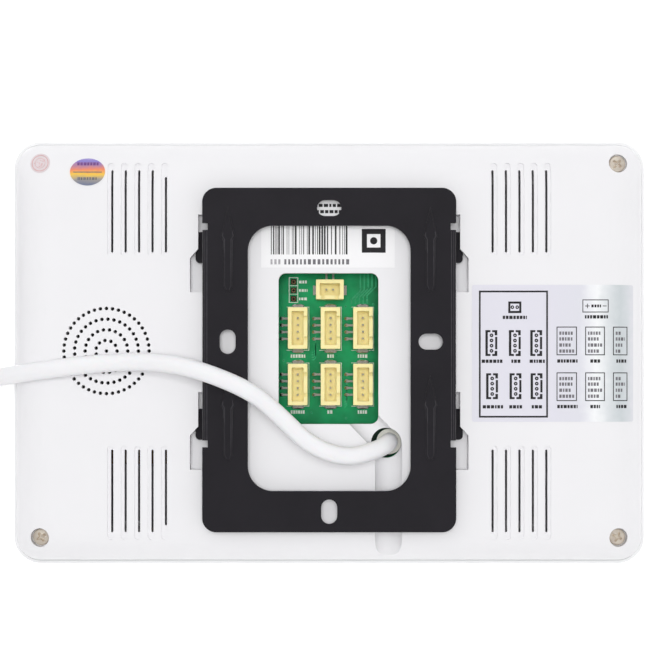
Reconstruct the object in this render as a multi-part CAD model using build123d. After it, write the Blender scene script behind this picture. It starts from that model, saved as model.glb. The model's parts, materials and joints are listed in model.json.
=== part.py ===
from build123d import *
import math
import os

# Video intercom monitor lying on its screen, with its wall bracket hooked on its back, in millimetres.
# The origin is the centre of the body's outline, on the plane that the front frame rests on.
# +Z points from the screen to the wall side, +Y to the monitor's top edge, and +X to the right of
# somebody who looks at the back.

os.makedirs("parts", exist_ok=True)

# ---- driving dimensions ------------------------------------------------------------------------

# Body
BODY_WIDTH = 187.0
BODY_HEIGHT = 125.0
BODY_CORNER = 8.0
BODY_DEPTH = 22.0
FRAME_DEPTH = 10.0
FRAME_WALL = 2.5
FACE_THICKNESS = 2.6
FACE_EDGE_ROUND = 2.0
RIM_ROUND = 0.7

# Rear cover: its outline stands back from the frame's, and its shoulders are wider or narrower
RIM_WIDTH = 1.2
SEAM_WIDTH = 0.35
SEAM_DEPTH = 0.5
COVER_CORNER = 7.0
COVER_WALL = 2.2
SHOULDER_LEFT = 12.0
SHOULDER_RIGHT = 14.0
SHOULDER_TOP = 15.0
SHOULDER_BOTTOM = 9.0
SHOULDER_POWER = 2.4
SHOULDER_STEPS = 6
COVER_INSET = 2.0
LIP_DEPTH = 1.4
LIP_WALL = 1.4
LIP_GAP = 0.2
LIP_OVERLAP = 0.6

# Cover screws
SCREW_INSET_X = 9.4
SCREW_INSET_TOP = 7.6
SCREW_INSET_BOTTOM = 8.5
SCREW_SHANK_R = 1.4
SCREW_HEAD_R = 2.45
SCREW_HEAD_HEIGHT = 1.6
SCREW_HEAD_SINK = 5.0
SCREW_RECESS_R = 2.75
SCREW_TIP_Z = 4.6
SCREW_CROSS = (2.6, 0.6)
SCREW_CROSS_DEPTH = 0.9
BOSS_R = 3.6
COVER_BOSS_R = 3.9

# Vents: each is a shallow groove with a through slit in it. The slits are set a little towards the
# middle of the body. On the left, the one nearest the bracket is shorter at its outer end.
VENT_COUNT = 5
VENT_PITCH = 3.9
VENT_LEFT_X = -(BODY_WIDTH / 2 - 37.95)
VENT_RIGHT_X = BODY_WIDTH / 2 - 37.9
VENT_TOP_Y = BODY_HEIGHT / 2 - 21.2
VENT_BOTTOM_Y = -(BODY_HEIGHT / 2 - 21.6)
VENT_LENGTH = 27.2
VENT_WIDTH = 1.9
VENT_SINK = 0.6
VENT_BELOW = 8.0
SLIT_LENGTH = 24.0
SLIT_WIDTH = 0.65
SLIT_SHIFT_X = 0.35
SLIT_SHIFT_Y = 0.5
SLIT_SHORTER = 2.0

# Speaker behind its round grille
SPEAKER_X = -(BODY_WIDTH / 2 - 28.9)
SPEAKER_Y = 0.2
SPEAKER_R = 14.2
SPEAKER_GAP = 0.3
SPEAKER_RING_WALL = 1.2
SPEAKER_RING_HEIGHT = 4.0
SPEAKER_FLANGE = 1.0
SPEAKER_FLANGE_WIDTH = 1.9
SPEAKER_HEIGHT = 5.4
GASKET_THICKNESS = 0.8
MAGNET_R = 8.0
MAGNET_HEIGHT = 2.6
GRILLE_HOLE_R = 0.53
GRILLE_RING_PITCH = 3.09
GRILLE_RINGS = 4
GRILLE_HOLES_PER_RING = 11

# Openings in the rear cover
WINDOW_WIDTH = 29.0
WINDOW_HEIGHT = 43.8
WINDOW_CORNER = 2.2
WINDOW_X = -0.2
WINDOW_Y = 0.9
CORD_HOLE_X = 16.6
CORD_HOLE_Y = -26.5
CORD_HOLE_R = 4.4
CHANNEL_R = 4.0
CHANNEL_DEPTH = 3.4
CHANNEL_WALL = 1.6
CHANNEL_SHIFT_X = 0.6
GROOVE_R = 4.0
GROOVE_START_X = 7.9
GROOVE_START_Y = -17.5
GROOVE_BLOCK_X = (0.0, 30.0)
GROOVE_BLOCK_Y = (-35.0, -10.0)

# Wall bracket
BRACKET_WIDTH = 73.0
BRACKET_HEIGHT = 99.0
BRACKET_Y = -2.5
BRACKET_CORNER = 4.0
BRACKET_THICKNESS = 1.2
BRACKET_STANDOFF = 3.5
BRACKET_WINDOW_WIDTH = 46.8
BRACKET_WINDOW_HEIGHT = 76.3
BRACKET_WINDOW_Y = -2.0
BRACKET_WINDOW_CORNER = 7.2
WALL_SLOT_WIDTH = 4.6
WALL_SLOT_LENGTH = 7.0
WALL_SLOT_X = 29.2
WALL_SLOT_SIDE_Y = 2.8
WALL_SLOT_TOP_Y = 41.2
WALL_SLOT_BOTTOM_Y = -46.1
FLANGE_GAP = 0.5
BEND_ROUND = 0.9
NOTCH_DEPTH = 1.6
NOTCH_HEIGHT = 2.0
SPEAR_LENGTH = 24.4
SPEAR_HEAD_LENGTH = 8.6
SPEAR_HEAD_HALF = 2.1
SPEAR_SHAFT_HALF = 1.35
SPEAR_NECK = 1.2
SPEAR_RISE = 0.6
SPEAR_ROOT = 0.4
SPEAR_EDGE = 0.4
SPEAR_X = 29.1
SPEAR_TOP_Y = 29.4
SPEAR_BOTTOM_Y = -19.1

# Hooks on the bracket and their pockets in the cover
HOOK_TOP_Y = 30.4
HOOK_BOTTOM_Y = -21.1
HOOK_LENGTH = 9.0
HOOK_REACH = 2.4
HOOK_DROP = 3.4
HOOK_TIP_ROUND = 1.2
SLIDE_UP = 4.5
SLIDE_DOWN = 8.2
SLIDE_GAP = 0.4
POCKET_SLANT_LOW = -3.2
POCKET_SLANT_HIGH = -0.6
LEDGE_THICKNESS = 1.6
LEDGE_GAP_X = 1.5
ENTRY_GAP_X = 1.5
POCKET_DEPTH = 4.6
POCKET_WALL = 1.4
POCKET_INNER_GAP = 1.0

# Screen
GLASS_WIDTH = BODY_WIDTH - 27.0
GLASS_HEIGHT = BODY_HEIGHT - 32.0
GLASS_CORNER = 3.0
GLASS_THICKNESS = 1.4
GLASS_SINK = 0.4
GLASS_GAP = 0.15
SCREEN_X = 8.2
SCREEN_WIDTH = GLASS_WIDTH - 5.0
SCREEN_HEIGHT = GLASS_HEIGHT - 6.0
LCD_WIDTH = GLASS_WIDTH + 5.0
LCD_HEIGHT = GLASS_HEIGHT + 7.0
LCD_GLASS_THICKNESS = 1.8
LCD_TRAY_THICKNESS = 4.0
LCD_TAB_SPACING = LCD_WIDTH - 45.0
LCD_TAB_WIDTH = 8.0
LCD_TAB_REACH = 7.2
LCD_TAB_THICKNESS = 1.0
LCD_SCREW_Y = LCD_HEIGHT / 2 + 4.0

# Keys beside the screen
KEY_BOARD_HEIGHT = 0.784 * BODY_HEIGHT
KEY_COUNT = 5
KEY_PITCH = (KEY_BOARD_HEIGHT - 42.0) / (KEY_COUNT - 1)
KEY_X = -(BODY_WIDTH / 2 - 10.5)
KEY_WIDTH = 9.0
KEY_HEIGHT = 6.0
KEY_CORNER = 2.0
KEY_GAP = 0.3
KEY_SINK = 0.3
KEY_FLANGE = 0.8
KEY_FLANGE_THICKNESS = 0.7
KEY_STEM_R = 1.6
KEY_TRAVEL = 0.5
SWITCH_CASE_SIDE = 6.0
SWITCH_CASE_HEIGHT = 2.1
SWITCH_BORE_R = 1.3
SWITCH_PLUNGER_R = 1.0
KEY_BOARD_WIDTH = 12.8
KEY_BOARD_Z = 7.0
KEY_BOARD_THICKNESS = 1.2
KEY_BOARD_SCREW_Y = KEY_BOARD_HEIGHT / 2 - 3.5

# Microphone
MIC_Y = -(KEY_PITCH * (KEY_COUNT - 1) / 2 + 8.7)
MIC_HOLE_R = 0.7
MIC_CAPSULE_R = 3.0
MIC_CAPSULE_HEIGHT = 3.0
MIC_BOOT_R = 4.2
MIC_BOOT_FLOOR = 1.4

# Circuit boards
BOARD_Z = 11.0
BOARD_THICKNESS = 1.6
MAIN_BOARD_WIDTH = 76.0
MAIN_BOARD_LOW_Y = -38.0
MAIN_BOARD_HIGH_Y = 34.0
MAIN_SCREW_X = 30.0
MAIN_SCREW_INSET = 4.0
POWER_BOARD_LOW_X = 44.0
POWER_BOARD_HIGH_X = 84.0
POWER_BOARD_LOW_Y = -26.0
POWER_BOARD_HIGH_Y = 18.0
POWER_SCREW_INSET = 3.2
SMALL_SHANK_R = 1.05
SMALL_HOLE_R = 1.25
SMALL_HEAD_R = 2.0
SMALL_HEAD_HEIGHT = 1.2
SMALL_SCREW_LENGTH = 5.0
SMALL_BOSS_R = 2.5

# Board connectors
PIN_PITCH = 2.0
CONNECTOR_DEPTH = 5.7
CONNECTOR_HEIGHT = 6.0
CONNECTOR_END = 3.05
CONNECTOR_FLOOR = 1.0
CONNECTOR_WALL = 1.1
CONNECTOR_COLUMN_X = (-9.2, 0.4, 9.9)
CONNECTOR_ROW_Y = (7.0, -9.5)
SIGNAL_PINS = 4
POWER_PINS = 2
POWER_CONNECTOR_X = 0.2
POWER_CONNECTOR_Y = 18.3
LEAD_LENGTH = 2.0
LEAD_WIDTH = 0.6
LEAD_THICKNESS = 0.35
PIN_SIDE = 0.5
PIN_HEIGHT = 4.8
TAB_WIDTH = 2.8
TAB_REACH = 0.9
KEYWAY_WIDTH = 1.0
KEYWAY_DEPTH = 2.2

# Transformer and capacitors on the power board, and flat cables between the boards
TRANSFORMER_SIZE = (16.0, 14.0, 6.2)
TRANSFORMER_X = 56.0
TRANSFORMER_Y = -12.0
CAPACITOR_R = 3.0
CAPACITOR_LENGTH = 13.0
CAPACITOR_X = 74.0
CAPACITOR_Y = (-8.0, 6.0)
KEY_RIBBON_Y = (-33.0, -25.0)
LCD_RIBBON_Y = (22.0, 32.0)
RIBBON_THICKNESS = 0.3

# Labels
LABEL_THICKNESS = 0.15
CURVED_LABEL_LIFT = 0.2
RATING_LABEL_X = (-19.7, 19.0)
RATING_LABEL_Y = (24.4, 44.8)
WIRING_LABEL_X = (BODY_WIDTH / 2 - 52.1, BODY_WIDTH / 2 - 4.9)
WIRING_LABEL_Y = (-20.3, 19.4)
OVAL_STICKER_X = -(BODY_WIDTH / 2 - 23.35)
OVAL_STICKER_Y = BODY_HEIGHT / 2 - 10.25
OVAL_STICKER_SIZE = (10.2, 8.1)
SEAL_STICKER_R = 2.95

# Mains cord, as its own list of route points, with its coil and plug
CORD_R = 2.6
CORD_TIE_WIDTH = 1.8
CORD_TIE_R = 3.7
CORD_TIE_HEAD_X = (2.8, 6.2)
CORD_TIE_HEAD_HALF = 2.2
CONDUCTOR_R = 0.9
CONDUCTOR_SPACING = 2.2
COIL_Y = 24.0
COIL_PITCH = 5.2
COIL_ROW_RISE = 5.25
COIL_TOP_EASE = 0.8
COIL_SLACK = 0.15
COIL_MIDDLE_R = 30.6
COIL_TIE_THICKNESS = 0.6
COIL_TIE_ANGLE = 12.0
COIL_TIE_AT = 150.0
COIL_ENTRY_STUB = 21.0
COIL_EXIT_AT = 315.0
COIL_EXIT_STUB = 28.0
PLUG_START_Y = -8.0
PLUG_SLEEVE_LENGTH = 20.0
PLUG_SLEEVE_R = (3.4, 5.2)
PLUG_WIDTH = 35.3
PLUG_THICKNESS = 13.7
PLUG_LENGTH = 29.0
PLUG_NECK_HALF = 6.5
PLUG_SHOULDER = 15.0
PLUG_NOSE = 5.0
PLUG_NOSE_INSET = 4.6
PLUG_CORNER = 2.0
PLUG_EDGE = 2.4
PLUG_PIN_TIP = 1.2
PLUG_PIN_R = 2.0
PLUG_PIN_LENGTH = 19.0
PLUG_PIN_SPACING = 18.6

# ---- derived places ----------------------------------------------------------------------------

COVER_WIDTH = BODY_WIDTH - 2 * RIM_WIDTH
COVER_HEIGHT = BODY_HEIGHT - 2 * RIM_WIDTH
CEILING_Z = BODY_DEPTH - COVER_WALL
CAVITY_WIDTH = BODY_WIDTH - 2 * FRAME_WALL
CAVITY_HEIGHT = BODY_HEIGHT - 2 * FRAME_WALL
CAVITY_CORNER = BODY_CORNER - FRAME_WALL
SCREW_X = BODY_WIDTH / 2 - SCREW_INSET_X
SCREW_TOP_Y = BODY_HEIGHT / 2 - SCREW_INSET_TOP
SCREW_BOTTOM_Y = -(BODY_HEIGHT / 2 - SCREW_INSET_BOTTOM)
SCREW_SEAT_Z = BODY_DEPTH - SCREW_HEAD_SINK
GLASS_SEAT_Z = GLASS_SINK + GLASS_THICKNESS
LCD_TRAY_Z = FACE_THICKNESS + LCD_GLASS_THICKNESS
LCD_TOP_Z = LCD_TRAY_Z + LCD_TRAY_THICKNESS
BOARD_TOP_Z = BOARD_Z + BOARD_THICKNESS
SPEAKER_TOP_Z = CEILING_Z - GASKET_THICKNESS
SPEAKER_FLANGE_INNER_R = SPEAKER_R - SPEAKER_FLANGE_WIDTH
MAGNET_TOP_Z = SPEAKER_TOP_Z - SPEAKER_HEIGHT
BRACKET_Z = BODY_DEPTH + BRACKET_STANDOFF
BRACKET_TOP_Z = BRACKET_Z + BRACKET_THICKNESS
HOOK_Z = BODY_DEPTH - HOOK_DROP
FLANGE_X = BRACKET_WIDTH / 2
HOOK_TIP_X = FLANGE_X + HOOK_REACH
LEDGE_X = FLANGE_X + LEDGE_GAP_X
ENTRY_X = HOOK_TIP_X + ENTRY_GAP_X
POCKET_INNER_X = FLANGE_X - BRACKET_THICKNESS - POCKET_INNER_GAP
HOOK_Y = (HOOK_BOTTOM_Y, HOOK_TOP_Y)
CHANNEL_X = CORD_HOLE_X + CHANNEL_SHIFT_X
CHANNEL_FLOOR_Z = BODY_DEPTH - CHANNEL_DEPTH
CHANNEL_BLOCK_Z = CHANNEL_FLOOR_Z - CHANNEL_WALL
LCD_LEFT_X = SCREEN_X - LCD_WIDTH / 2
EDGE_X = -BODY_WIDTH / 2
CORD_START_Z = BOARD_TOP_Z + 1.6
COIL_X = EDGE_X - 63.0
PLUG_X = EDGE_X - 136.0
COIL_BASE_Z = COIL_TIE_THICKNESS + CORD_R + COIL_SLACK
PLUG_BODY_Y = PLUG_START_Y + PLUG_SLEEVE_LENGTH
PLUG_FACE_Y = PLUG_BODY_Y + PLUG_LENGTH
PLUG_AXIS_Z = PLUG_THICKNESS / 2
CUT = 1.0  # how far a cutter runs past the face that it opens


# ---- helpers -----------------------------------------------------------------------------------

def save(name, shape):
    """Write one node."""
    export_step(shape, f"parts/{name}.step")


def rounded_block(width, height, radius, low, high, x=0.0, y=0.0):
    """Upright block with rounded corners, from z = low to z = high."""
    return extrude(Pos(x, y, low) * RectangleRounded(width, height, radius), high - low)


def span_block(x_range, y_range, low, high):
    """Upright block over a range of x and a range of y."""
    width = x_range[1] - x_range[0]
    height = y_range[1] - y_range[0]
    middle = Pos((x_range[0] + x_range[1]) / 2, (y_range[0] + y_range[1]) / 2, low)
    return extrude(middle * Rectangle(width, height), high - low)


def post(x, y, radius, low, high):
    """Upright cylinder."""
    return extrude(Pos(x, y, low) * Circle(radius), high - low)


def upright_slot(x, y, length, width, low, high):
    """Slot whose long side runs along Y, as a solid."""
    return extrude(Pos(x, y, low) * Rot(0, 0, 90) * SlotOverall(length, width), high - low)


def pillow(inset, base_z, top_z):
    """Crowned solid of the cover's form: an outline that draws in to a flat top along a rounded
    shoulder. inset is how far it lies inside the cover's outer surface."""
    left = -COVER_WIDTH / 2 + inset
    right = COVER_WIDTH / 2 - inset
    top = COVER_HEIGHT / 2 - inset
    bottom = -COVER_HEIGHT / 2 + inset
    sections = []
    for step in range(SHOULDER_STEPS + 1):
        turn = math.radians(90.0 * step / SHOULDER_STEPS)
        drawn_in = 1.0 - max(math.cos(turn), 0.0) ** (2.0 / SHOULDER_POWER)
        risen = math.sin(turn) ** (2.0 / SHOULDER_POWER)
        shrink = 1.0 - inset / (2.0 * SHOULDER_TOP)
        x0 = left + SHOULDER_LEFT * shrink * drawn_in
        x1 = right - SHOULDER_RIGHT * shrink * drawn_in
        y0 = bottom + SHOULDER_BOTTOM * shrink * drawn_in
        y1 = top - SHOULDER_TOP * shrink * drawn_in
        middle = Pos((x0 + x1) / 2, (y0 + y1) / 2, base_z + (top_z - base_z) * risen)
        sections.append(middle * RectangleRounded(x1 - x0, y1 - y0, COVER_CORNER - inset / 2))
    return loft(sections)


def small_screw(x, y, seat_z, way):
    """Pan-head screw. Its head sits at seat_z, and its shank runs the given way along Z."""
    head_low = min(seat_z, seat_z - way * SMALL_HEAD_HEIGHT)
    shank_low = min(seat_z, seat_z + way * SMALL_SCREW_LENGTH)
    head = post(x, y, SMALL_HEAD_R, head_low, head_low + SMALL_HEAD_HEIGHT)
    shank = post(x, y, SMALL_SHANK_R, shank_low, shank_low + SMALL_SCREW_LENGTH)
    return head + shank


def tube(points, radius):
    """Round tube along straight runs joined by tangent arcs. Prints its radii and its volume test."""
    vectors = [Vector(*p) for p in points]
    runs = [vectors[i + 1] - vectors[i] for i in range(len(vectors) - 1)]
    radii = []
    for before, after in zip(runs, runs[1:]):
        turn = math.radians(before.get_angle(after))
        radii.append(0.45 * min(before.length, after.length) / math.tan(turn / 2))
    path = FilletPolyline(*vectors, radius=radii)
    section = Plane(origin=vectors[0], z_dir=runs[0]) * Circle(radius)
    solid = sweep(section, path=path)
    share = solid.volume / (math.pi * radius**2 * path.length)
    print(f"  length {path.length:.1f}, volume share {share:.4f}, radii", [round(r, 1) for r in radii])
    return solid


COVER_SCREWS = [(x, y) for x in (-SCREW_X, SCREW_X) for y in (SCREW_BOTTOM_Y, SCREW_TOP_Y)]
MAIN_SCREWS = [
    (x, y)
    for x in (-MAIN_SCREW_X, MAIN_SCREW_X)
    for y in (MAIN_BOARD_LOW_Y + MAIN_SCREW_INSET, MAIN_BOARD_HIGH_Y - MAIN_SCREW_INSET)
]
POWER_SCREWS = [
    (x, y)
    for x in (POWER_BOARD_LOW_X + POWER_SCREW_INSET, POWER_BOARD_HIGH_X - POWER_SCREW_INSET)
    for y in (POWER_BOARD_LOW_Y + POWER_SCREW_INSET, POWER_BOARD_HIGH_Y - POWER_SCREW_INSET)
]
LCD_SCREWS = [
    (SCREEN_X + side * LCD_TAB_SPACING / 2, end * LCD_SCREW_Y) for side in (-1, 1) for end in (-1, 1)
]
KEY_SCREWS = [(KEY_X, -KEY_BOARD_SCREW_Y), (KEY_X, KEY_BOARD_SCREW_Y)]
KEY_Y = [KEY_PITCH * (i - (KEY_COUNT - 1) / 2) for i in range(KEY_COUNT)]


# ---- front frame, glass and screen -------------------------------------------------------------

def make_front_frame():
    body = rounded_block(BODY_WIDTH, BODY_HEIGHT, BODY_CORNER, 0, FRAME_DEPTH)
    body = fillet(body.faces().sort_by(Axis.Z)[0].outer_wire().edges(), FACE_EDGE_ROUND)
    body = fillet(body.faces().sort_by(Axis.Z)[-1].outer_wire().edges(), RIM_ROUND)
    body -= rounded_block(
        CAVITY_WIDTH, CAVITY_HEIGHT, CAVITY_CORNER, FACE_THICKNESS, FRAME_DEPTH + CUT
    )
    seam_low = FRAME_DEPTH - SEAM_DEPTH
    seam = rounded_block(
        COVER_WIDTH + 2 * SEAM_WIDTH,
        COVER_HEIGHT + 2 * SEAM_WIDTH,
        COVER_CORNER + SEAM_WIDTH,
        seam_low,
        FRAME_DEPTH + CUT,
    )
    body -= seam - rounded_block(COVER_WIDTH, COVER_HEIGHT, COVER_CORNER, seam_low, FRAME_DEPTH + CUT)
    for x, y in COVER_SCREWS:
        body += post(x, y, BOSS_R, FACE_THICKNESS, FRAME_DEPTH)
    for x, y in LCD_SCREWS:
        body += post(x, y, SMALL_BOSS_R, FACE_THICKNESS, LCD_TOP_Z - LCD_TAB_THICKNESS)
    for x, y in KEY_SCREWS:
        body += post(x, y, SMALL_BOSS_R, FACE_THICKNESS, KEY_BOARD_Z)
    for x, y in COVER_SCREWS:
        body -= post(x, y, SCREW_SHANK_R, SCREW_TIP_Z, FRAME_DEPTH + CUT)
    for x, y in LCD_SCREWS:
        seat = LCD_TOP_Z
        body -= post(x, y, SMALL_SHANK_R, seat - SMALL_SCREW_LENGTH, seat)
    for x, y in KEY_SCREWS:
        seat = KEY_BOARD_Z + KEY_BOARD_THICKNESS
        body -= post(x, y, SMALL_SHANK_R, seat - SMALL_SCREW_LENGTH, seat)
    rebate_width = GLASS_WIDTH + 2 * GLASS_GAP
    rebate_height = GLASS_HEIGHT + 2 * GLASS_GAP
    body -= rounded_block(
        rebate_width, rebate_height, GLASS_CORNER + GLASS_GAP, -CUT, GLASS_SEAT_Z, SCREEN_X
    )
    body -= rounded_block(SCREEN_WIDTH, SCREEN_HEIGHT, 1.0, 0, FACE_THICKNESS + CUT / 2, SCREEN_X)
    for y in KEY_Y:
        body -= rounded_block(
            KEY_WIDTH + 2 * KEY_GAP,
            KEY_HEIGHT + 2 * KEY_GAP,
            KEY_CORNER + KEY_GAP,
            -CUT,
            FACE_THICKNESS + CUT,
            KEY_X,
            y,
        )
    body -= post(KEY_X, MIC_Y, MIC_HOLE_R, -CUT, FACE_THICKNESS + CUT)
    return body


def make_front_glass():
    return rounded_block(GLASS_WIDTH, GLASS_HEIGHT, GLASS_CORNER, GLASS_SINK, GLASS_SEAT_Z, SCREEN_X)


def make_lcd_panel():
    return rounded_block(LCD_WIDTH, LCD_HEIGHT, 0.5, FACE_THICKNESS, LCD_TRAY_Z, SCREEN_X)


def make_lcd_tray():
    tray = rounded_block(LCD_WIDTH, LCD_HEIGHT, 0.5, LCD_TRAY_Z, LCD_TOP_Z, SCREEN_X)
    for x, y in LCD_SCREWS:
        way = math.copysign(1.0, y)
        ends = sorted((way * (LCD_HEIGHT / 2 - 1.0), way * (LCD_HEIGHT / 2 + LCD_TAB_REACH)))
        tray += span_block(
            (x - LCD_TAB_WIDTH / 2, x + LCD_TAB_WIDTH / 2),
            ends,
            LCD_TOP_Z - LCD_TAB_THICKNESS,
            LCD_TOP_Z,
        )
    for x, y in LCD_SCREWS:
        tray -= post(x, y, SMALL_HOLE_R, LCD_TRAY_Z, LCD_TOP_Z + CUT)
    return tray


# ---- keys, switches and microphone -------------------------------------------------------------

def make_key(y):
    flange_z = FACE_THICKNESS + KEY_GAP
    cap = rounded_block(KEY_WIDTH, KEY_HEIGHT, KEY_CORNER, KEY_SINK, flange_z, KEY_X, y)
    cap = fillet(cap.faces().sort_by(Axis.Z)[0].outer_wire().edges(), 0.5)
    cap += rounded_block(
        KEY_WIDTH + 2 * (KEY_GAP + KEY_FLANGE),
        KEY_HEIGHT + 2 * (KEY_GAP + KEY_FLANGE),
        KEY_CORNER,
        flange_z,
        flange_z + KEY_FLANGE_THICKNESS,
        KEY_X,
        y,
    )
    return cap + post(KEY_X, y, KEY_STEM_R, flange_z, flange_z + KEY_FLANGE_THICKNESS + 0.4)


def make_switch_case(y):
    low = KEY_BOARD_Z - SWITCH_CASE_HEIGHT
    case = rounded_block(SWITCH_CASE_SIDE, SWITCH_CASE_SIDE, 0.4, low, KEY_BOARD_Z, KEY_X, y)
    return case - post(KEY_X, y, SWITCH_BORE_R, low - CUT, KEY_BOARD_Z - 0.4)


def make_switch_plunger(y):
    low = FACE_THICKNESS + KEY_GAP + KEY_FLANGE_THICKNESS + 0.4
    high = KEY_BOARD_Z - 0.4 - KEY_TRAVEL - KEY_GAP
    return post(KEY_X, y, SWITCH_PLUNGER_R, low, high)


def make_key_board():
    board = rounded_block(
        KEY_BOARD_WIDTH, KEY_BOARD_HEIGHT, 1.0, KEY_BOARD_Z, KEY_BOARD_Z + KEY_BOARD_THICKNESS, KEY_X
    )
    for x, y in KEY_SCREWS:
        board -= post(x, y, SMALL_HOLE_R, KEY_BOARD_Z - CUT, KEY_BOARD_Z + KEY_BOARD_THICKNESS + CUT)
    return board


def make_microphone_boot():
    top = FACE_THICKNESS + MIC_BOOT_FLOOR + MIC_CAPSULE_HEIGHT
    boot = post(KEY_X, MIC_Y, MIC_BOOT_R, FACE_THICKNESS, top)
    boot -= post(KEY_X, MIC_Y, MIC_CAPSULE_R, FACE_THICKNESS + MIC_BOOT_FLOOR, top + CUT)
    return boot - post(KEY_X, MIC_Y, MIC_HOLE_R, FACE_THICKNESS - CUT, top)


def make_microphone_capsule():
    low = FACE_THICKNESS + MIC_BOOT_FLOOR
    return post(KEY_X, MIC_Y, MIC_CAPSULE_R, low, low + MIC_CAPSULE_HEIGHT)


# ---- boards and connectors ---------------------------------------------------------------------

def make_main_board():
    y_range = (MAIN_BOARD_LOW_Y, MAIN_BOARD_HIGH_Y)
    board = span_block((-MAIN_BOARD_WIDTH / 2, MAIN_BOARD_WIDTH / 2), y_range, BOARD_Z, BOARD_TOP_Z)
    for x, y in MAIN_SCREWS:
        board -= post(x, y, SMALL_HOLE_R, BOARD_Z - CUT, BOARD_TOP_Z + CUT)
    return board


def make_power_board():
    x_range = (POWER_BOARD_LOW_X, POWER_BOARD_HIGH_X)
    y_range = (POWER_BOARD_LOW_Y, POWER_BOARD_HIGH_Y)
    board = span_block(x_range, y_range, BOARD_Z, BOARD_TOP_Z)
    for x, y in POWER_SCREWS:
        board -= post(x, y, SMALL_HOLE_R, BOARD_Z - CUT, BOARD_TOP_Z + CUT)
    return board


def connector_place(x, y, turn):
    return Pos(x, y, BOARD_TOP_Z) * Rot(0, 0, turn)


def make_contacts(pins, place):
    """Surface-mount leads with their upright pins, and an anchor tab at each end."""
    pieces = []
    for i in range(pins):
        y = PIN_PITCH * (i - (pins - 1) / 2)
        lead_ends = (-CONNECTOR_DEPTH / 2 - LEAD_LENGTH, PIN_SIDE / 2)
        lead = span_block(lead_ends, (y - LEAD_WIDTH / 2, y + LEAD_WIDTH / 2), 0, LEAD_THICKNESS)
        half = PIN_SIDE / 2
        pieces.append(lead + span_block((-half, half), (y - half, y + half), 0, PIN_HEIGHT))
    length = PIN_PITCH * (pins - 1) + 2 * CONNECTOR_END
    for end in (-1, 1):
        ends = sorted((end * length / 2, end * (length / 2 + TAB_REACH)))
        pieces.append(span_block((-TAB_WIDTH / 2, TAB_WIDTH / 2), ends, 0, LEAD_THICKNESS))
    return place * Compound(pieces)


def make_connector(pins, place):
    """Open-topped housing with a keyed wall, moulded round its contacts."""
    length = PIN_PITCH * (pins - 1) + 2 * CONNECTOR_END
    housing = rounded_block(CONNECTOR_DEPTH, length, 0.25, 0, CONNECTOR_HEIGHT)
    inner_depth = CONNECTOR_DEPTH - 2 * CONNECTOR_WALL
    inner_length = length - 2 * CONNECTOR_WALL
    housing -= rounded_block(
        inner_depth, inner_length, 0.2, CONNECTOR_FLOOR, CONNECTOR_HEIGHT + CUT
    )
    for end in (-1, 1):
        housing -= span_block(
            (CONNECTOR_DEPTH / 2 - CONNECTOR_WALL - CUT, CONNECTOR_DEPTH / 2 + CUT),
            (end * length / 4 - KEYWAY_WIDTH / 2, end * length / 4 + KEYWAY_WIDTH / 2),
            CONNECTOR_HEIGHT - KEYWAY_DEPTH,
            CONNECTOR_HEIGHT + CUT,
        )
    return place * housing - make_contacts(pins, place)


# ---- speaker -----------------------------------------------------------------------------------

def ring_solid(profile, x, y):
    """Solid of revolution from (radius, z) points, about the upright line through x, y."""
    face = make_face(Polyline(*[(r, 0, z) for r, z in profile], close=True))
    return Pos(x, y, 0) * revolve(face, Axis.Z)


def make_speaker_gasket():
    profile = [
        (SPEAKER_FLANGE_INNER_R, SPEAKER_TOP_Z),
        (SPEAKER_R, SPEAKER_TOP_Z),
        (SPEAKER_R, CEILING_Z),
        (SPEAKER_FLANGE_INNER_R, CEILING_Z),
    ]
    return ring_solid(profile, SPEAKER_X, SPEAKER_Y)


def make_speaker_frame():
    low = SPEAKER_TOP_Z - SPEAKER_FLANGE
    profile = [
        (SPEAKER_FLANGE_INNER_R, SPEAKER_TOP_Z),
        (SPEAKER_R, SPEAKER_TOP_Z),
        (SPEAKER_R, low),
        (SPEAKER_FLANGE_INNER_R + 0.6, low),
        (MAGNET_R + 0.6, MAGNET_TOP_Z),
        (0, MAGNET_TOP_Z),
        (0, MAGNET_TOP_Z + 0.8),
        (MAGNET_R, MAGNET_TOP_Z + 0.8),
        (SPEAKER_FLANGE_INNER_R, low),
    ]
    return ring_solid(profile, SPEAKER_X, SPEAKER_Y)


def make_speaker_magnet():
    return post(SPEAKER_X, SPEAKER_Y, MAGNET_R, MAGNET_TOP_Z - MAGNET_HEIGHT, MAGNET_TOP_Z)


def make_speaker_cone():
    rim = SPEAKER_FLANGE_INNER_R - 0.05
    top = SPEAKER_TOP_Z - 0.3
    profile = [
        (rim, top),
        (rim, top - 0.4),
        (rim - 2.0, top - 0.6),
        (4.2, top - 2.6),
        (0, top - 1.6),
        (0, top - 1.2),
        (4.2, top - 2.2),
        (rim - 2.0, top - 0.2),
    ]
    return ring_solid(profile, SPEAKER_X, SPEAKER_Y)


# ---- rear cover --------------------------------------------------------------------------------

def pocket_span(hook_y):
    """Range of y that a hook sweeps over its whole travel, with a gap at each end."""
    reach = HOOK_LENGTH / 2 + SLIDE_GAP
    return (hook_y - reach - SLIDE_DOWN, hook_y + reach + SLIDE_UP)


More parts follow.
